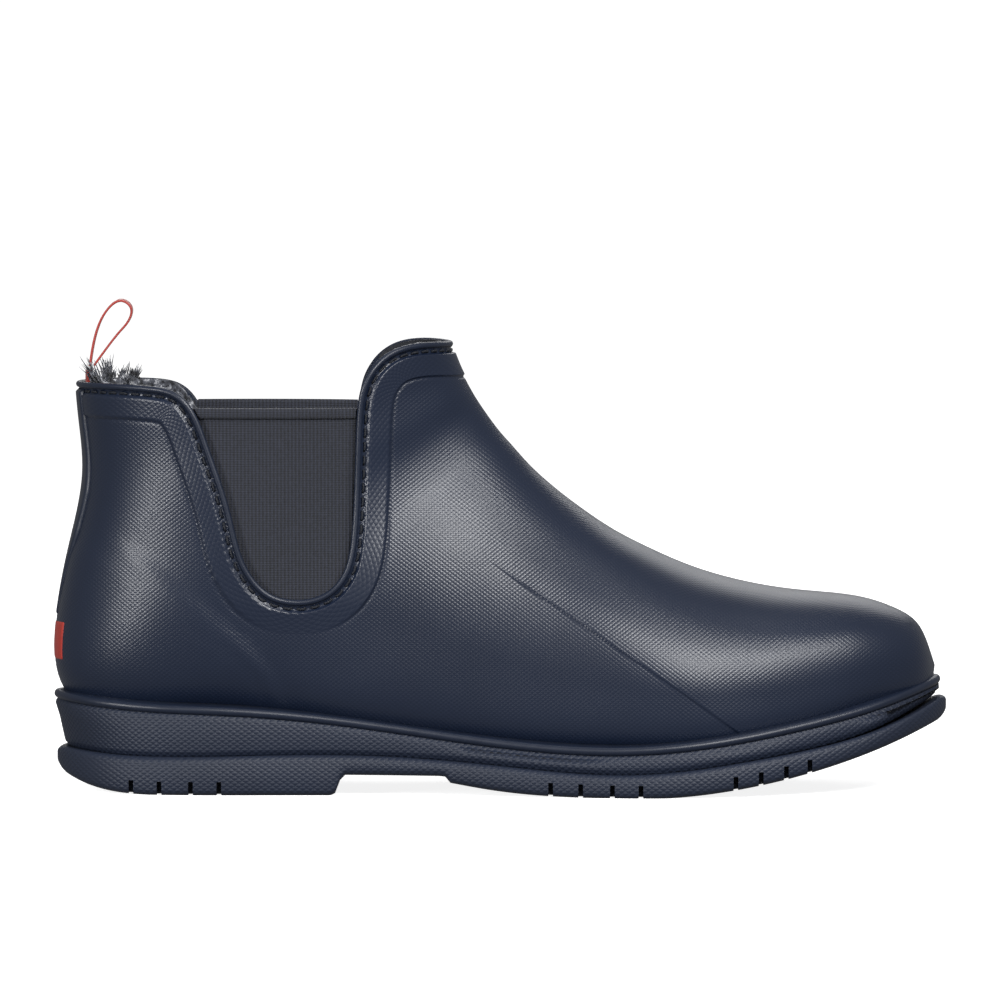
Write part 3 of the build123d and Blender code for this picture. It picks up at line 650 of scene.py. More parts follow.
def closed_sheet(front, back, wide, tall):
    """Points and faces of a closed sheet from two grids of points, wide by tall."""
    points = np.concatenate([front, back])
    shift = wide * tall
    faces = []
    for i in range(tall - 1):
        for j in range(wide - 1):
            a = i * wide + j
            faces.append((a, a + 1, a + wide + 1, a + wide))
            faces.append((a + shift, a + wide + shift, a + wide + 1 + shift, a + 1 + shift))
    rim = ([(0, j) for j in range(wide)] + [(i, wide - 1) for i in range(1, tall)]
           + [(tall - 1, j) for j in range(wide - 2, -1, -1)] + [(i, 0) for i in range(tall - 2, 0, -1)])
    rim = [i * wide + j for i, j in rim]
    for a, b in zip(rim, rim[1:] + rim[:1]):
        faces.append((b, a, a + shift, b + shift))
    return points, faces


def gore_half_span(height, margin):
    """Where the window's two edges are at a height, widened by margin."""
    line = top_line + top_inward * margin
    low = int(line[:, 1][200:500].argmin()) + 200
    rear = np.interp(-height, -line[80:low, 1], line[80:low, 0])
    front = np.interp(height, line[low:600, 1], line[low:600, 0])
    return rear, front


def make_gore(side, node, foot, head, margin, depth, thick, name, ribs):
    """Webbing or hem between two heights, ribbed on its face and as wide as the window there."""
    wide, tall = GORE_ACROSS, max(8, int((head - foot) / 0.9))
    front, back = [], []
    for i in range(tall):
        height = foot + (head - foot) * i / (tall - 1)
        rear_x, front_x = gore_half_span(height, margin)
        for j in range(wide):
            x = rear_x + (front_x - rear_x) * j / (wide - 1)
            met, normal = meet_skin((x, 0, height), (0, side, 0))
            rib = ribs * (0.5 - 0.5 * math.cos(2 * math.pi * x / RIB_PITCH))
            edge = min(i, tall - 1 - i) / 2.0
            roll = HEM_ROLL * max(0.0, 1 - edge) if name == "hem" else 0
            front.append(met - normal * (depth - rib + roll))
            back.append(met - normal * (depth + thick))
    points, faces = closed_sheet(np.array(front), np.array(back), wide, tall)
    piece = make_piece(name + "_webbing_" + node, points, faces, "boot")
    face_outward(piece)
    return piece


# Covered rubber elastic, plain woven and piece dyed: dull, ribbed upright with a fine cross weft.
def gore_webbing():
    finish, tree, shader = new_finish("woven elastic webbing")
    place = add(tree, "ShaderNodeNewGeometry").outputs["Position"]
    spot = add(tree, "ShaderNodeSeparateXYZ", {0: place})
    ribs = thread_wave(tree, spot.outputs[0], RIB_PITCH)
    weft = thread_wave(tree, spot.outputs[2], WEFT_PITCH)
    fuzz = add(tree, "ShaderNodeTexNoise", {"Vector": place, "Scale": 900.0, "Detail": 3.0})
    ribbed = add(tree, "ShaderNodeMath", {0: ribs, 1: 0.3}, operation="MULTIPLY")
    crossed = add(tree, "ShaderNodeMath", {0: weft, 1: 0.16}, operation="MULTIPLY")
    both = add(tree, "ShaderNodeMath", {0: ribbed, 1: crossed}, operation="ADD")
    weave = add(tree, "ShaderNodeMath", {0: both, 1: 0.2}, operation="ADD")
    fuzzed = add(tree, "ShaderNodeMath", {0: fuzz.outputs[0], 1: 0.6}, operation="MULTIPLY")
    mixed = add(tree, "ShaderNodeMath", {0: weave, 1: fuzzed}, operation="ADD")
    two_tone(tree, shader, mixed, "#090b10", "#2a2e3c", mixed, 0.0003, 0.8)
    shader.inputs["Roughness"].default_value = 0.82
    shader.inputs["Sheen Weight"].default_value = 0.25
    return finish


webbing = gore_webbing()
for side, node in ((-1, "lateral"), (1, "medial")):
    gore = make_gore(side, node, GORE_FOOT, GORE_TOP - 0.3, 5.0, GORE_DEPTH, GORE_THICK, "gore", 0.2)
    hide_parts("gore_" + node)
    hem = make_gore(side, node, GORE_TOP - HEM_TALL, GORE_TOP, -0.3, GORE_DEPTH - 1.1, HEM_THICK,
                    "hem", 0.25)
    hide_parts("gore_hem_" + node)
    gore.data.materials.append(webbing)
    hem.data.materials.append(webbing)

# ---- Heel stay and tab ---------------------------------------------------------------------------
# A thin moulded strip stiffens the back of the heel, and below it sits a plain red PVC tab, both
# bonded to the upper.
STAY = np.array([(50.0, 4.0), (60.0, 4.0), (72.0, 6.5), (82.0, 9.0), (95.0, 10.5), (127.0, 9.5)])
STAY_THICK, STAY_ROUND, TAB_THICK, TAB_ROUND = 1.15, 1.3, 0.95, 1.0
STRIP_ACROSS = 27


def make_back_piece(name, heights, half_width, thick, round_edge):
    """A strip on the back of the heel: outer face with rounded edges, closed behind."""
    across = STRIP_ACROSS
    front, back = [], []
    ends = (heights[0], heights[-1])
    for height in heights:
        half = half_width(height)
        for share in np.linspace(-1, 1, across):
            met, normal = meet_skin((SHAFT_AXIS, share * half, height), (-1, 0, 0))
            inner = min(1.0, (1 - abs(share)) * half / round_edge,
                        min(height - ends[0], ends[1] - height) / round_edge)
            lift = thick * math.sqrt(max(0.0, 1 - (1 - inner) ** 2)) - 0.12
            front.append(met + normal * lift)
            back.append(met - normal * 0.5)
    points, faces = closed_sheet(np.array(front), np.array(back), across, len(heights))
    piece = make_piece(name, points, faces, "boot")
    face_outward(piece)
    return piece


# Red PVC, injection moulded and bonded on: an even satin red with a fine tooth.
def red_pvc():
    finish, tree, shader = new_finish("moulded red PVC")
    place = add(tree, "ShaderNodeNewGeometry").outputs["Position"]
    cloud = add(tree, "ShaderNodeTexNoise", {"Vector": place, "Scale": 400.0, "Detail": 3.0})
    two_tone(tree, shader, cloud.outputs[0], "#9c2a22", "#ac372c", cloud.outputs[0], 0.0001)
    shader.inputs["Roughness"].default_value = 0.42
    return finish


stay_heights = np.linspace(55.0, 127.6, 74) * GRADE[2]
stay = make_back_piece("heel_stay", stay_heights,
                       lambda z: float(np.interp(z, STAY[:, 0], STAY[:, 1])),
                       STAY_THICK, STAY_ROUND)
stay.data.materials.append(edge_pvc)
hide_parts("back_stay")
label_low, label_high = (np.array(v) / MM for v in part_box("heel_label"))
label = make_back_piece("heel_tab", np.linspace(label_low[2], label_high[2], 28),
                        lambda z: label_high[1], TAB_THICK, TAB_ROUND)
label.data.materials.append(red_pvc())
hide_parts("heel_label")

# ---- Pile lining ---------------------------------------------------------------------------------
# Knitted acrylic pile in flecked white, grey and black, bagged out inside the boot. Loose locks
# stand above the collar round the foot of the pull loop.
PILE_GRID = 1.15
LOCKS, FIBRES_IN_LOCK = 14, 18
LOCKS_FROM = -117.0         # locks stand behind this x, the tallest beside the loop
TALLEST_AT = -123.5


def fleece_copy(node, name, grid, rough_by, highest):
    """A soft closed copy of a lining piece, with its surface broken up into pile."""
    mesh = nodes[node].data.copy()
    piece = bpy.data.objects.new(name, mesh)
    bpy.context.scene.collection.objects.link(piece)
    remesh = piece.modifiers.new("remesh", "REMESH")
    remesh.mode = "VOXEL"
    remesh.voxel_size = grid * MM
    soft = piece.modifiers.new("soft", "SMOOTH")
    soft.iterations = 3
    done = bpy.data.meshes.new_from_object(piece.evaluated_get(bpy.context.evaluated_depsgraph_get()))
    piece.modifiers.clear()
    piece.data = done
    count = len(done.vertices)
    points = np.empty(count * 3)
    done.vertices.foreach_get("co", points)
    points = points.reshape(-1, 3) / MM
    normals = np.empty(count * 3)
    done.vertices.foreach_get("normal", normals)
    normals = normals.reshape(-1, 3)
    lift = np.array([noise.noise(Vector(p * 0.45)) + 0.6 * noise.noise(Vector(p * 1.1)) for p in points])
    points += normals * (lift * rough_by)[:, None]
    points[:, 2] = np.minimum(points[:, 2], highest)
    done.vertices.foreach_set("co", (points * MM).ravel())
    done.materials.clear()
    done.shade_smooth()
    return piece


# Acrylic fur knit from mixed white, grey and black yarn: matt, with flecks a few mm across.
def flecked_pile():
    finish, tree, shader = new_finish("flecked acrylic pile")
    place = add(tree, "ShaderNodeNewGeometry").outputs["Position"]
    fleck = add(tree, "ShaderNodeTexNoise", {"Vector": place, "Scale": 330.0, "Detail": 5.0,
                                             "Roughness": 0.75})
    ramp = add(tree, "ShaderNodeValToRGB", {0: fleck.outputs[0]})
    ramp.color_ramp.elements[0].position = 0.42
    ramp.color_ramp.elements[0].color = srgb("#0f1116")
    ramp.color_ramp.elements[1].position = 0.66
    ramp.color_ramp.elements[1].color = srgb("#d9dade")
    middle = ramp.color_ramp.elements.new(0.54)
    middle.color = srgb("#555861")
    tree.links.new(ramp.outputs[0], shader.inputs["Base Color"])
    bump = add(tree, "ShaderNodeBump", {"Height": fleck.outputs[0], "Distance": 0.0008})
    tree.links.new(bump.outputs[0], shader.inputs["Normal"])
    shader.inputs["Roughness"].default_value = 0.95
    shader.inputs["Sheen Weight"].default_value = 0.15
    return finish


pile = flecked_pile()
COLLAR_TOP = (129.6 * GRADE[2] + 0.2, 142.4 * GRADE[2] - 0.4)
REAR_OPENING = -95.0        # behind this the sock ends at the lower, rear collar
lining = fleece_copy("pile_lining", "pile_sock", PILE_GRID, 0.55, COLLAR_TOP[1])
for vertex in lining.data.vertices:
    if vertex.co.x < REAR_OPENING * MM:
        vertex.co.z = min(vertex.co.z, COLLAR_TOP[0] * MM)
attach(lining, "boot")
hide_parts("pile_lining")
lining.data.materials.append(pile)


def add_fibre(points, faces, base, heading, tall, thick, curl):
    """A tapered three-sided fibre from base along heading, bent sideways by curl."""
    start = len(points)
    levels = ((0.0, 1.0), (0.35, 0.95), (0.7, 0.7), (1.0, 0.2))
    for level, width in levels:
        centre = base + heading * tall * level + curl * level ** 2 * tall
        for k in range(3):
            turn = 2 * math.pi * k / 3
            points.append(centre + thick * width * np.array([math.cos(turn), math.sin(turn), 0]))
    for ring in range(0, 3 * (len(levels) - 1), 3):
        for k in range(3):
            a, b = start + ring + k, start + ring + (k + 1) % 3
            faces.append((a, b, b + 3, a + 3))
    top = start + 3 * (len(levels) - 1)
    faces.append((start + 2, start + 1, start))
    faces.append((top, top + 1, top + 2))


def make_tufts():
    """Locks of pile standing round the foot of the pull loop."""
    rng = np.random.default_rng(11)
    path = even_steps(both_sides(run_beside(0.0, depth=4.6)), 0.3, closed=True)
    back = np.flatnonzero(path[:, 0] < LOCKS_FROM)
    points, faces = [], []
    for _ in range(LOCKS):
        place = path[rng.choice(back)] + rng.normal(0, 0.8, 3) * (1, 1, 0)
        near_loop = math.exp(-((place[0] - TALLEST_AT) / 3.0) ** 2)
        tall = rng.uniform(2.5, 5.0) + 4.0 * near_loop * rng.uniform(0.4, 1)
        lean = np.array([0, 0, 1.0]) + rng.normal(0, 0.42, 3) * (1, 1, 0)
        lean /= np.linalg.norm(lean)
        bend = rng.normal(0, 0.28, 3)
        for _ in range(FIBRES_IN_LOCK):
            base = place + rng.normal(0, 0.55, 3) * (1, 1, 0.3) - (0, 0, 0.8)
            heading = lean + rng.normal(0, 0.16, 3)
            add_fibre(points, faces, base, heading / np.linalg.norm(heading),
                      tall * rng.uniform(0.6, 1.05), rng.uniform(0.24, 0.42),
                      bend + rng.normal(0, 0.14, 3))
    tufts = make_piece("pile_tufts", points, faces, "boot")
    face_outward(tufts)
    return tufts


make_tufts().data.materials.append(pile)

# ---- Footbed -------------------------------------------------------------------------------------
# A loose inner sole: die-cut foam with a pile cover, which lifts out from the heel.
footbed = fleece_copy("footbed_cover", "footbed_pile_cover", 0.9, 0.3, 142.5)
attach(footbed, "footbed")
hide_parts("footbed_cover")
footbed.data.materials.append(pile)


def plain_finish(name, dark, light, roughness, scale, depth, metallic=0.0):
    """A finish with a fine mottled tone and tooth, for the pieces hidden inside."""
    finish, tree, shader = new_finish(name)
    place = add(tree, "ShaderNodeNewGeometry").outputs["Position"]
    mottle = add(tree, "ShaderNodeTexNoise", {"Vector": place, "Scale": scale, "Detail": 4.0})
    two_tone(tree, shader, mottle.outputs[0], dark, light, mottle.outputs[0], depth)
    shader.inputs["Roughness"].default_value = roughness
    shader.inputs["Metallic"].default_value = metallic
    return finish


def dress(node, finish):
    """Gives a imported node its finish."""
    nodes[node].data.materials.clear()
    nodes[node].data.materials.append(finish)


dress("footbed_foam", plain_finish("open cell foam", "#3a3c40", "#515459", 0.9, 900.0, 0.0003))

# ---- Inside the boot -----------------------------------------------------------------------------
# Pieces that hold the shape and never show: fibre insole board, thermoplastic heel counter, woven
# collar tape, blown filler and a spring steel shank.
dress("insole_board", plain_finish("pressed fibre board", "#8a6a48", "#a3845f", 0.85, 700.0, 0.0002))
dress("heel_counter", plain_finish("thermoplastic counter", "#b9b2a2", "#cfc8b8", 0.6, 500.0, 0.0002))
dress("midsole_core", plain_finish("blown filler", "#26272a", "#36383c", 0.9, 800.0, 0.0004))
dress("arch_shank", plain_finish("spring steel", "#8b8d90", "#a2a4a7", 0.35, 300.0, 0.00005, 1.0))
tape = plain_finish("woven collar tape", "#15171c", "#24272e", 0.8, 1200.0, 0.0002)
dress("collar_tape_rear", tape)
dress("collar_tape_front", tape)

# ---- Sole ----------------------------------------------------------------------------------------
# Moulded rubber: a grained sidewall with a round welt bead on top, and an outsole whose flange
# stands out past the sidewall. Heel block, arch and ball are one piece, cut with short sipes.
SOLE_PLAN = [(-136.0, 15.5, 15.5), (-124.0, 28.0, 28.0), (-103.0, 35.5, 35.5), (-72.0, 36.5, 36.5),
             (-38.0, 37.0, 34.0), (-4.0, 41.5, 37.5), (26.0, 47.0, 44.5), (52.0, 49.8, 48.7),
             (79.0, 47.0, 47.5), (103.0, 39.5, 43.0), (121.0, 29.5, 36.0), (134.5, 15.0, 25.5)]
SEAM_LINE = [(-150.0, 15.0), (-121.0, 12.4), (-84.0, 12.4), (-40.0, 12.5), (1.0, 9.6),
             (40.0, 7.2), (62.0, 8.9), (80.0, 11.6), (100.0, 15.2), (120.0, 20.4), (150.0, 34.0)]
TREAD_TOE = [(26.0, 0.0), (53.0, 0.0), (72.0, 2.0), (100.0, 7.9), (120.0, 14.2), (150.0, 26.5)]
TREAD_BALL = [(-15.8, 4.2), (-4.0, 2.2), (10.0, 0.7), (26.0, 0.0)]
TREAD_HEEL = [(-150.0, 14.0), (-137.0, 5.0), (-122.0, 0.7), (-112.0, 0.0)]
HEEL_BREAST, BREAST_TOP, WAIST_END = -52.5, (-50.0, 6.5), (-17.5, 6.3)
BEAD_ROUND = 1.45
LEDGE = 10.0                # the bead runs in this far, on to the upper
NOSE_ROUND, NOSE_TAPER = 3.6, 0.36
SOLE_PIP_WIDE, SOLE_PIP_TALL = 2.4, 1.6
SIPE_WIDE, SIPE_DEEP, SIPE_REACH = 1.5, 4.4, 9.0
SIPES = [-117.0, -108.0, -98.0, -89.0, 16.0, 25.5, 35.5, 44.5, 74.5, 82.5, 90.5, 98.0]
GROOVE_WIDE, TREAD_GROOVE_DEEP, TREAD_PITCH = 2.2, 1.8, 9.2
seam_height = side_line(SEAM_LINE)
tread_toe, tread_ball, tread_heel = side_line(TREAD_TOE), side_line(TREAD_BALL), side_line(TREAD_HEEL)


def tread_height(x):
    """Height of the tread at x: bevelled heel, breast, raised waist, ball and toe spring."""
    gx, gz = GRADE[0], GRADE[2]
    if x < -112 * gx:
        return float(tread_heel(x))
    if x < HEEL_BREAST * gx:
        return 0.0
    if x < -15.8 * gx:
        return float(np.interp(x / gx, [HEEL_BREAST, BREAST_TOP[0], WAIST_END[0], -15.8],
                               [0.0, BREAST_TOP[1], WAIST_END[1], 4.2])) * gz
    return float(tread_ball(x)) if x < 26 * gx else float(tread_toe(x))


def make_outline():
    """The sole's outline from above as a closed loop with outward normals."""
    toe, heel = sole_high[0] / MM, sole_low[0] / MM
    medial = [(x, m) for x, _, m in SOLE_PLAN]
    lateral = [(x, -l) for x, l, _ in reversed(SOLE_PLAN)]
    ring = np.array(medial + [(toe / GRADE[0], 6.0)] + lateral + [(heel / GRADE[0], 0.0)]) * GRADE[:2]
    count = len(ring)
    padded = np.concatenate([ring[-6:], ring, ring[:7]])
    steps = np.concatenate([[0], np.cumsum(np.linalg.norm(np.diff(padded, axis=0), axis=1))])
    lo, hi = steps[6] / steps[-1], steps[6 + count] / steps[-1]
    dense = smooth_run(padded, np.linspace(lo, hi, 3001), steps)[:-1]
    run = np.concatenate([[0], np.cumsum(np.linalg.norm(np.diff(dense, axis=0), axis=1))])
    places = np.linspace(0, run[-1], 901)[:-1]
    loop = np.stack([np.interp(places, run, dense[:, k]) for k in range(2)], axis=1)
    heading = np.roll(loop, -1, axis=0) - np.roll(loop, 1, axis=0)
    heading /= np.linalg.norm(heading, axis=1, keepdims=True)
    outward = np.stack([heading[:, 1], -heading[:, 0]], axis=1)
    if (outward * loop).sum() < 0:
        outward = -outward
    return loop, outward, places


outline, outline_out, outline_run = make_outline()


def sweep_round(profile, name, node):
    """A closed ring swept round the sole; profile gives (out, height) points at each x."""
    points, faces, rows = [], [], None
    coords = []
    for spot, out, run in zip(outline, outline_out, outline_run):
        section = profile(spot[0])
        rows = len(section)
        for reach, height in section:
            flat = spot + out * reach
            points.append((flat[0], flat[1], height))
            coords.append((run, height, 0))
    count = len(outline)
    for i in range(count):
        for k in range(rows):
            a, b = i * rows + k, i * rows + (k + 1) % rows
            c, d = ((i + 1) % count) * rows + (k + 1) % rows, ((i + 1) % count) * rows + k
            faces.append((a, b, c, d))
    piece = make_piece(name, points, faces, "boot")
    lay = piece.data.attributes.new("grain_place", "FLOAT_VECTOR", "POINT")
    lay.data.foreach_set("vector", np.array(coords).ravel().astype(np.float32))
    face_outward(piece)
    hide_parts(node)
    return piece


def step_top(x):
    """How far the top of the sidewall stands in from the outsole's edge; it leans out at the heel."""
    return 2.2 * float(ease(x, -139, -112)) - 0.6 * (1 - float(ease(x, -139, -120)))


def step_low(x):
    """How far the foot of the sidewall stands in from the outsole's edge."""
    return 2.2 + 0.3 * float(ease(x, 118, 140))


def wall_profile(x):
    """The sidewall's outline across: foot on the outsole, leaning side, and top under the bead."""
    high, low = step_top(x), step_low(x)
    seam, top = float(seam_height(x)), float(bead_height(x))
    middle = (seam + top) / 2
    return [(-low - 6.0, seam), (-low - 1.0, seam), (-low - 0.9, seam + 0.6), (-low - 0.4, seam + 1.1),
            (-low - 0.1, seam + 2.0), (-(low + high) / 2, middle), (-high - 0.05, top - 4.4),
            (-high - 0.2, top - 3.6), (-high - 0.7, top - 3.0), (-high - 1.0, top - 2.4),
            (-high - 1.6, top - 1.6), (-high - 3.0, top - 1.2)]


def bead_profile(x):
    """The welt bead's outline across: a round front and a ledge that runs in on to the upper."""
    out, top = 0.35 - step_top(x), float(bead_height(x))
    centre = (out - BEAD_ROUND, top - BEAD_ROUND)
    turn = [math.radians(a) for a in range(-110, 95, 17)]
    crest = [(centre[0] + BEAD_ROUND * math.cos(a), centre[1] + BEAD_ROUND * math.sin(a)) for a in turn]
    return crest + [(centre[0] - 1.5, top + 0.1), (out - LEDGE, top + 0.7), (out - LEDGE, top - 3.0)]


def end_round(x):
    """1 along the sole, falling to 0 in a round nose at its two ends."""
    room = min(x - outline[:, 0].min(), outline[:, 0].max() - x)
    return math.sqrt(max(0.0, 1 - (1 - min(1.0, room / NOSE_ROUND)) ** 2))


# Rounding of the flange: in from the edge, and up from the tread or down from the seam.
FLANGE_LOW = ((1.7, 0.14), (0.95, 0.5), (0.4, 1.1), (0.1, 1.9))
FLANGE_HIGH = ((0.08, 2.0), (0.35, 1.2), (0.85, 0.5), (1.6, 0.1), (2.6, 0.0))


def bar(middle, long, wide, tall, turn):
    """Eight corners and six faces of a bar turned about the upright."""
    points = []
    for z in (-0.5, 0.5):
        for x, y in ((-0.5, -0.5), (0.5, -0.5), (0.5, 0.5), (-0.5, 0.5)):
            flat = (x * wide * math.cos(turn) - y * long * math.sin(turn),
                    x * wide * math.sin(turn) + y * long * math.cos(turn))
            points.append((middle[0] + flat[0], middle[1] + flat[1], middle[2] + z * tall))
    return points, [(3, 2, 1, 0), (4, 5, 6, 7), (0, 1, 5, 4), (1, 2, 6, 5), (2, 3, 7, 6), (3, 0, 4, 7)]


def half_width_at(x, side):
    """How far the outline reaches to one side at x."""
    reach = np.where(np.abs(outline[:, 0] - x) < 1.5, outline[:, 1] * side, 0)
    return float(reach.max())


CUTTER_TALL = 8.0


def make_cutters():
    """Bars that cut the sipes in the sole's edge and the angled grooves across its tread."""
    points, faces = [], []
    bars = []
    for x in SIPES:
        x *= GRADE[0]
        for side in (-1, 1):
            middle = side * (half_width_at(x, side) - SIPE_REACH / 2 + 1.5)
            spot = (x, middle, tread_height(x) + SIPE_DEEP - CUTTER_TALL / 2)
            bars.append(bar(spot, SIPE_REACH + 3.0, SIPE_WIDE, CUTTER_TALL, 0.0))
    for x in list(np.arange(-124, -58, TREAD_PITCH)) + list(np.arange(-6, 112, TREAD_PITCH)):
        x *= GRADE[0]
        for side in (-1, 1):
            reach = half_width_at(x, side) - SIPE_REACH - 7.0
            spot = (x, side * (reach / 2 + 1.0), tread_height(x) + TREAD_GROOVE_DEEP - CUTTER_TALL / 2)
            bars.append(bar(spot, reach, GROOVE_WIDE, CUTTER_TALL, side * 0.3))
    for part, part_faces in bars:
        faces += [tuple(i + len(points) for i in face) for face in part_faces]
        points += part
    mesh = bpy.data.meshes.new("cutters")
    mesh.from_pydata([tuple(np.array(p) * MM) for p in points], [], faces)
    cutter = bpy.data.objects.new("cutters", mesh)
    bpy.context.scene.collection.objects.link(cutter)
    return cutter


def make_outsole():
    """Flange and tread as one closed piece, from rows of points across the sole."""
    order = np.argsort(outline[:, 0])
    heel_at, toe_at = outline[:, 0].argmin(), outline[:, 0].argmax()
    rows = 260
    turn = np.linspace(0, math.pi, rows)
    lo, hi = outline[heel_at, 0], outline[toe_at, 0]
    xs = (lo + hi) / 2 - (hi - lo) / 2 * np.cos(turn)
    halves = {}
    for side in (-1, 1):
        part = outline[order]
        middle = np.interp(part[:, 0], [lo, hi], [outline[heel_at, 1], outline[toe_at, 1]])
        pick = (part[:, 1] - middle) * side >= 0
        halves[side] = np.interp(xs, part[pick, 0], part[pick, 1])
    # each row runs under the tread, up one edge, over the top and down the other edge
    across = 17
    points = []
    for i, x in enumerate(xs):
        low, high = tread_height(x), float(seam_height(x))
        nose = (1 - end_round(x)) * (high - low) * NOSE_TAPER
        low, high = low + nose, high - nose
        left, right = halves[-1][i], halves[1][i]
        half = max((right - left) / 2, 0.01)
        middle = (left + right) / 2
        fade = min(1.0, half / 6)
        ring = []
        for share in np.linspace(1, -1, across):
            ring.append((middle + share * (half - 2.6 * fade), low))
        rise = min(1.0, (high - low) / 5)
        for out, lift in FLANGE_LOW:
            ring.append((middle - (half - out * fade), low + lift * rise))
        ring.append((middle - half, (low + high) / 2))
        for out, drop in FLANGE_HIGH:
            ring.append((middle - (half - out * fade), high - drop * rise))
        for share in np.linspace(-1, 1, across):
            ring.append((middle + share * (half - 3.6 * fade), high))
        for out, drop in reversed(FLANGE_HIGH):
            ring.append((middle + (half - out * fade), high - drop * rise))
        ring.append((middle + half, (low + high) / 2))
        for out, lift in reversed(FLANGE_LOW):
            ring.append((middle + (half - out * fade), low + lift * rise))
        points += [(x, y, z) for y, z in ring]
        wide = len(ring)
    faces = []
    for i in range(rows - 1):
        for k in range(wide):
            a, b = i * wide + k, i * wide + (k + 1) % wide
            faces.append((a, b, b + wide, a + wide))
    faces.append(tuple(range(wide)))
    faces.append(tuple((rows - 1) * wide + k for k in reversed(range(wide))))
    piece = make_piece("rubber_outsole", points, faces, "boot")
    face_outward(piece)
    cutter = make_cutters()
    cut = piece.modifiers.new("cut", "BOOLEAN")
    cut.operation, cut.object, cut.solver = "DIFFERENCE", cutter, "EXACT"
    done = bpy.data.meshes.new_from_object(piece.evaluated_get(bpy.context.evaluated_depsgraph_get()))
    piece.modifiers.clear()
    piece.data = done
    bpy.data.objects.remove(cutter)
    done.set_sharp_from_angle(angle=math.radians(38))
    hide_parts("outsole")
    return piece


def moulded_rubber(name, from_run):
    """Navy rubber from an etched mould: duller than the PVC, with staggered lozenge grain."""
    finish, tree, shader = new_finish(name)
    place = add(tree, "ShaderNodeNewGeometry").outputs["Position"]
    cloud = add(tree, "ShaderNodeTexNoise", {"Vector": place, "Scale": 30.0, "Detail": 4.0})
    if from_run:
        laid = add(tree, "ShaderNodeSeparateXYZ",
                   {0: add(tree, "ShaderNodeAttribute", attribute_name="grain_place").outputs["Vector"]})
        grain = lozenges(tree, laid.outputs[0], laid.outputs[1], SOLE_PIP_WIDE, SOLE_PIP_TALL)
    else:
        grain = grain_all_round(tree, SOLE_PIP_WIDE, SOLE_PIP_TALL)
    two_tone(tree, shader, cloud.outputs[0], "#131b2c", "#192337", grain, 0.00016, 0.8)
    shader.inputs["Roughness"].default_value = 0.55
    return finish


sidewall = sweep_round(wall_profile, "sole_sidewall_grained", "sole_sidewall")
sidewall.data.materials.append(moulded_rubber("moulded navy rubber, sidewall", True))
welt = sweep_round(bead_profile, "welt_bead_round", "welt_bead")
welt.data.materials.append(edge_pvc)
outsole = make_outsole()
outsole.data.materials.append(moulded_rubber("moulded navy rubber, outsole", False))

# ---- Pull loop -----------------------------------------------------------------------------------
# A folded red satin ribbon, 11.4 mm wide, sewn between upper and lining at the back of the collar.
# It stands by its own stiffness, with a slight twist.
RIBBON_WIDE, RIBBON_THICK, RIBBON_POINTS = 11.4, 0.75, 15
THREAD_PITCH = 0.6
LOOP = [(-130.6, 134.6), (-129.6, 141.0), (-127.6, 148.0), (-124.6, 153.0), (-120.4, 155.4),
        (-117.6, 153.4), (-118.0, 149.6), (-121.0, 145.6), (-125.0, 140.6), (-129.4, 134.6)]


def make_pull_loop():
    """The ribbon as a closed sheet along the loop, twisted a little near its tip."""
    line = smooth_run(np.array(LOOP) * GRADE[[0, 2]], np.linspace(0, 1, 90))
    heading = np.gradient(line, axis=0)
    heading /= np.linalg.norm(heading, axis=1, keepdims=True)
    wide = RIBBON_POINTS
    front, back = [], []
    for i, (place, ahead) in enumerate(zip(line, heading)):
        along = i / (len(line) - 1)
        twist = 0.3 * math.exp(-((along - 0.76) / 0.2) ** 2) - 0.16 * math.exp(-((along - 0.3) / 0.2) ** 2)
        across = np.array([ahead[0] * math.sin(twist), math.cos(twist), ahead[1] * math.sin(twist)])
        tangent = np.array([ahead[0], 0, ahead[1]])
        face_out = np.cross(across, tangent)
        for share in np.linspace(-1, 1, wide):
            centre = np.array([place[0], 0, place[1]]) + across * share * RIBBON_WIDE / 2
            half = RIBBON_THICK / 2 * (1.0 if abs(share) < 0.9 else 0.75)
            front.append(centre + face_out * half)
            back.append(centre - face_out * half)
    points, faces = closed_sheet(np.array(front), np.array(back), wide, len(line))
    piece = make_piece("ribbon_pull_loop", points, faces, "pull_loop")
    face_outward(piece)
    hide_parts("pull_loop")
    return piece


# Polyester satin, woven narrow and dyed red: a soft sheen over a fine weave.
def satin_ribbon():
    finish, tree, shader = new_finish("woven red satin")
    place = add(tree, "ShaderNodeNewGeometry").outputs["Position"]
    spot = add(tree, "ShaderNodeSeparateXYZ", {0: place})
    weft = thread_wave(tree, spot.outputs[2], THREAD_PITCH)
    warp = thread_wave(tree, spot.outputs[1], THREAD_PITCH)
    crossed = add(tree, "ShaderNodeMath", {0: weft, 1: warp}, operation="MULTIPLY")
    weave = add(tree, "ShaderNodeMath", {0: crossed, 1: 0.5, 2: 0.5}, operation="MULTIPLY_ADD")
    two_tone(tree, shader, weave, "#8e241d", "#b53c30", weave, 0.0001)
    shader.inputs["Roughness"].default_value = 0.5
    shader.inputs["Sheen Weight"].default_value = 0.3
    return finish


ribbon = satin_ribbon()
make_pull_loop().data.materials.append(ribbon)
dress("pull_loop_tail", ribbon)

# ---- Studio --------------------------------------------------------------------------------------
# A white paper bowl, softboxes above, left, front, right and behind, and a long lens nearly level
# with the boot.
CAMERA_RISE = math.radians(3.0)
LENS, SENSOR = 500.0, 36.0
VIEW_WIDTH = 0.3188
AIM = Vector((0.0, 0.0, 0.0919))
FLOOR_REACH, WALL_HIGH, SWEEP, BOWL_SIDES = 9.0, 9.0, 2.5, 64


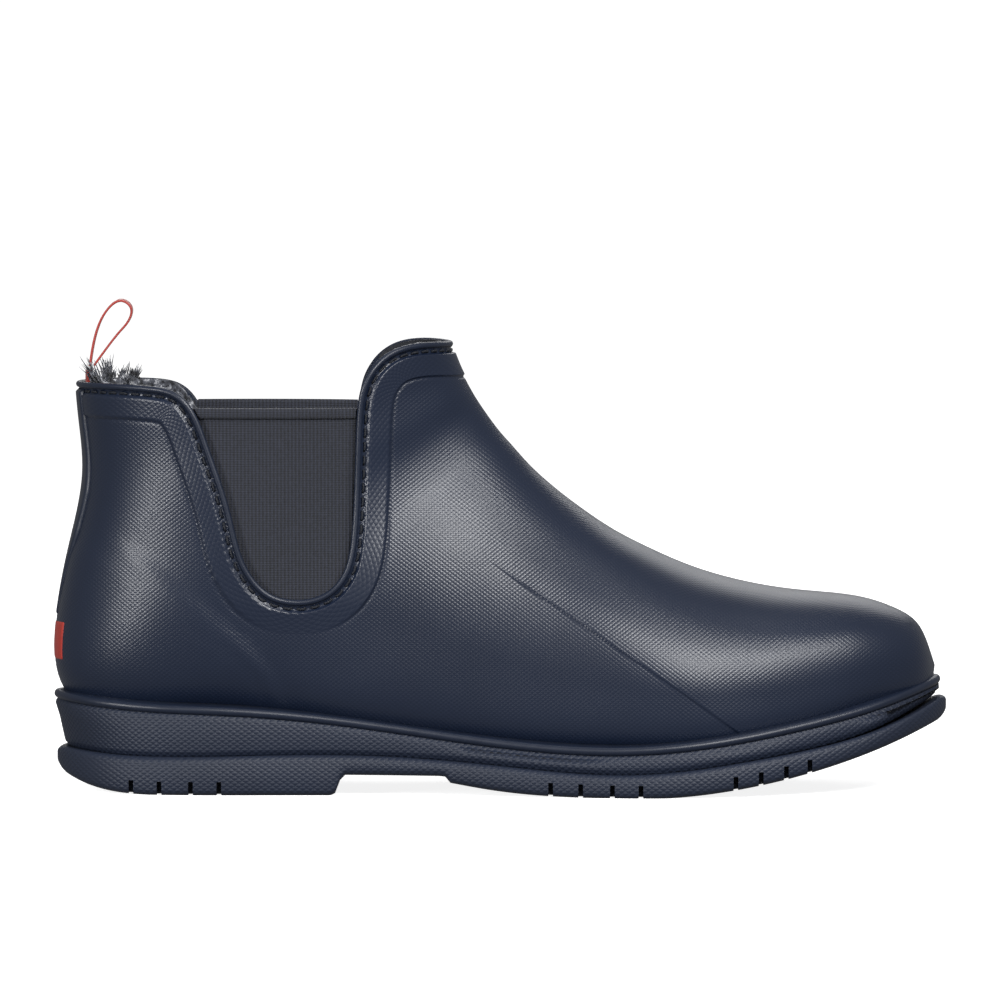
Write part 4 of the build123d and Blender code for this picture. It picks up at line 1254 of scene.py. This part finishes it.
def make_backdrop():
    """A round floor that sweeps up into a wall."""
    profile = [(0.0, 0.0), (FLOOR_REACH - SWEEP, 0.0)]
    for k in range(1, 13):
        turn = math.pi / 2 * k / 12
        profile.append((FLOOR_REACH - SWEEP + SWEEP * math.sin(turn), SWEEP - SWEEP * math.cos(turn)))
    profile.append((FLOOR_REACH, WALL_HIGH))
    sides = BOWL_SIDES
    points = [(r * math.cos(2 * math.pi * k / sides), r * math.sin(2 * math.pi * k / sides), z)
              for r, z in profile[1:] for k in range(sides)]
    faces = [tuple(range(sides))]
    for i in range(len(profile) - 2):
        for k in range(sides):
            a, b = i * sides + k, i * sides + (k + 1) % sides
            faces.append((a, b, b + sides, a + sides))
    mesh = bpy.data.meshes.new("backdrop")
    mesh.from_pydata(points, [], faces)
    backdrop = bpy.data.objects.new("backdrop", mesh)
    bpy.context.scene.collection.objects.link(backdrop)
    # the paper is seen but throws no glare on the boot
    backdrop.visible_glossy = False
    backdrop.visible_diffuse = False
    backdrop.visible_shadow = False
    return backdrop


backdrop = make_backdrop()
paper, _, paper_shader = new_finish("white paper")
paper_shader.inputs["Base Color"].default_value = (0.85, 0.85, 0.85, 1)
paper_shader.inputs["Roughness"].default_value = 0.9
paper_shader.inputs["Specular IOR Level"].default_value = 0.0
paper_shader.inputs["Emission Color"].default_value = (1, 1, 1, 1)
paper_shader.inputs["Emission Strength"].default_value = 0.86
backdrop.data.materials.append(paper)

camera_data = bpy.data.cameras.new("camera")
camera_data.lens = LENS
camera_data.sensor_width = SENSOR
camera_data.clip_end = 50
camera = bpy.data.objects.new("camera", camera_data)
distance = VIEW_WIDTH * LENS / SENSOR
camera.location = AIM + Vector((0, -math.cos(CAMERA_RISE), math.sin(CAMERA_RISE))) * distance
camera.rotation_euler = (math.pi / 2 - CAMERA_RISE, 0, 0)
bpy.context.scene.collection.objects.link(camera)
bpy.context.scene.camera = camera


def softbox(name, place, target, width, height, power):
    """A rectangular area light at place, turned to target; sizes in m, power in W."""
    lamp = bpy.data.lights.new(name, "AREA")
    lamp.shape = "RECTANGLE"
    lamp.size, lamp.size_y, lamp.energy = width, height, power
    holder = bpy.data.objects.new(name, lamp)
    holder.location = place
    holder.rotation_euler = (Vector(target) - Vector(place)).to_track_quat("-Z", "Y").to_euler()
    bpy.context.scene.collection.objects.link(holder)


softbox("overhead_softbox", (0.0, 0.0, 1.5), (0, 0, 0.05), 0.8, 0.6, 2.0)
softbox("left_softbox", (-1.1, -1.05, 0.4), (-0.05, 0, 0.06), 0.3, 0.5, 12.0)
softbox("front_softbox", (0.42, -1.5, 0.95), (0, 0, 0.06), 0.5, 0.4, 22.0)
softbox("right_softbox", (0.85, -0.85, 1.15), (0.05, 0, 0.06), 0.45, 0.45, 10.0)
softbox("rear_softbox", (0.1, 1.6, 0.9), (0, 0, 0.06), 1.2, 0.6, 5.0)

world = bpy.data.worlds.new("studio")
world.use_nodes = True
world.node_tree.nodes["Background"].inputs[0].default_value = (1, 1, 1, 1)
world.node_tree.nodes["Background"].inputs[1].default_value = 0.22
bpy.context.scene.world = world
bpy.context.scene.view_settings.view_transform = "Standard"
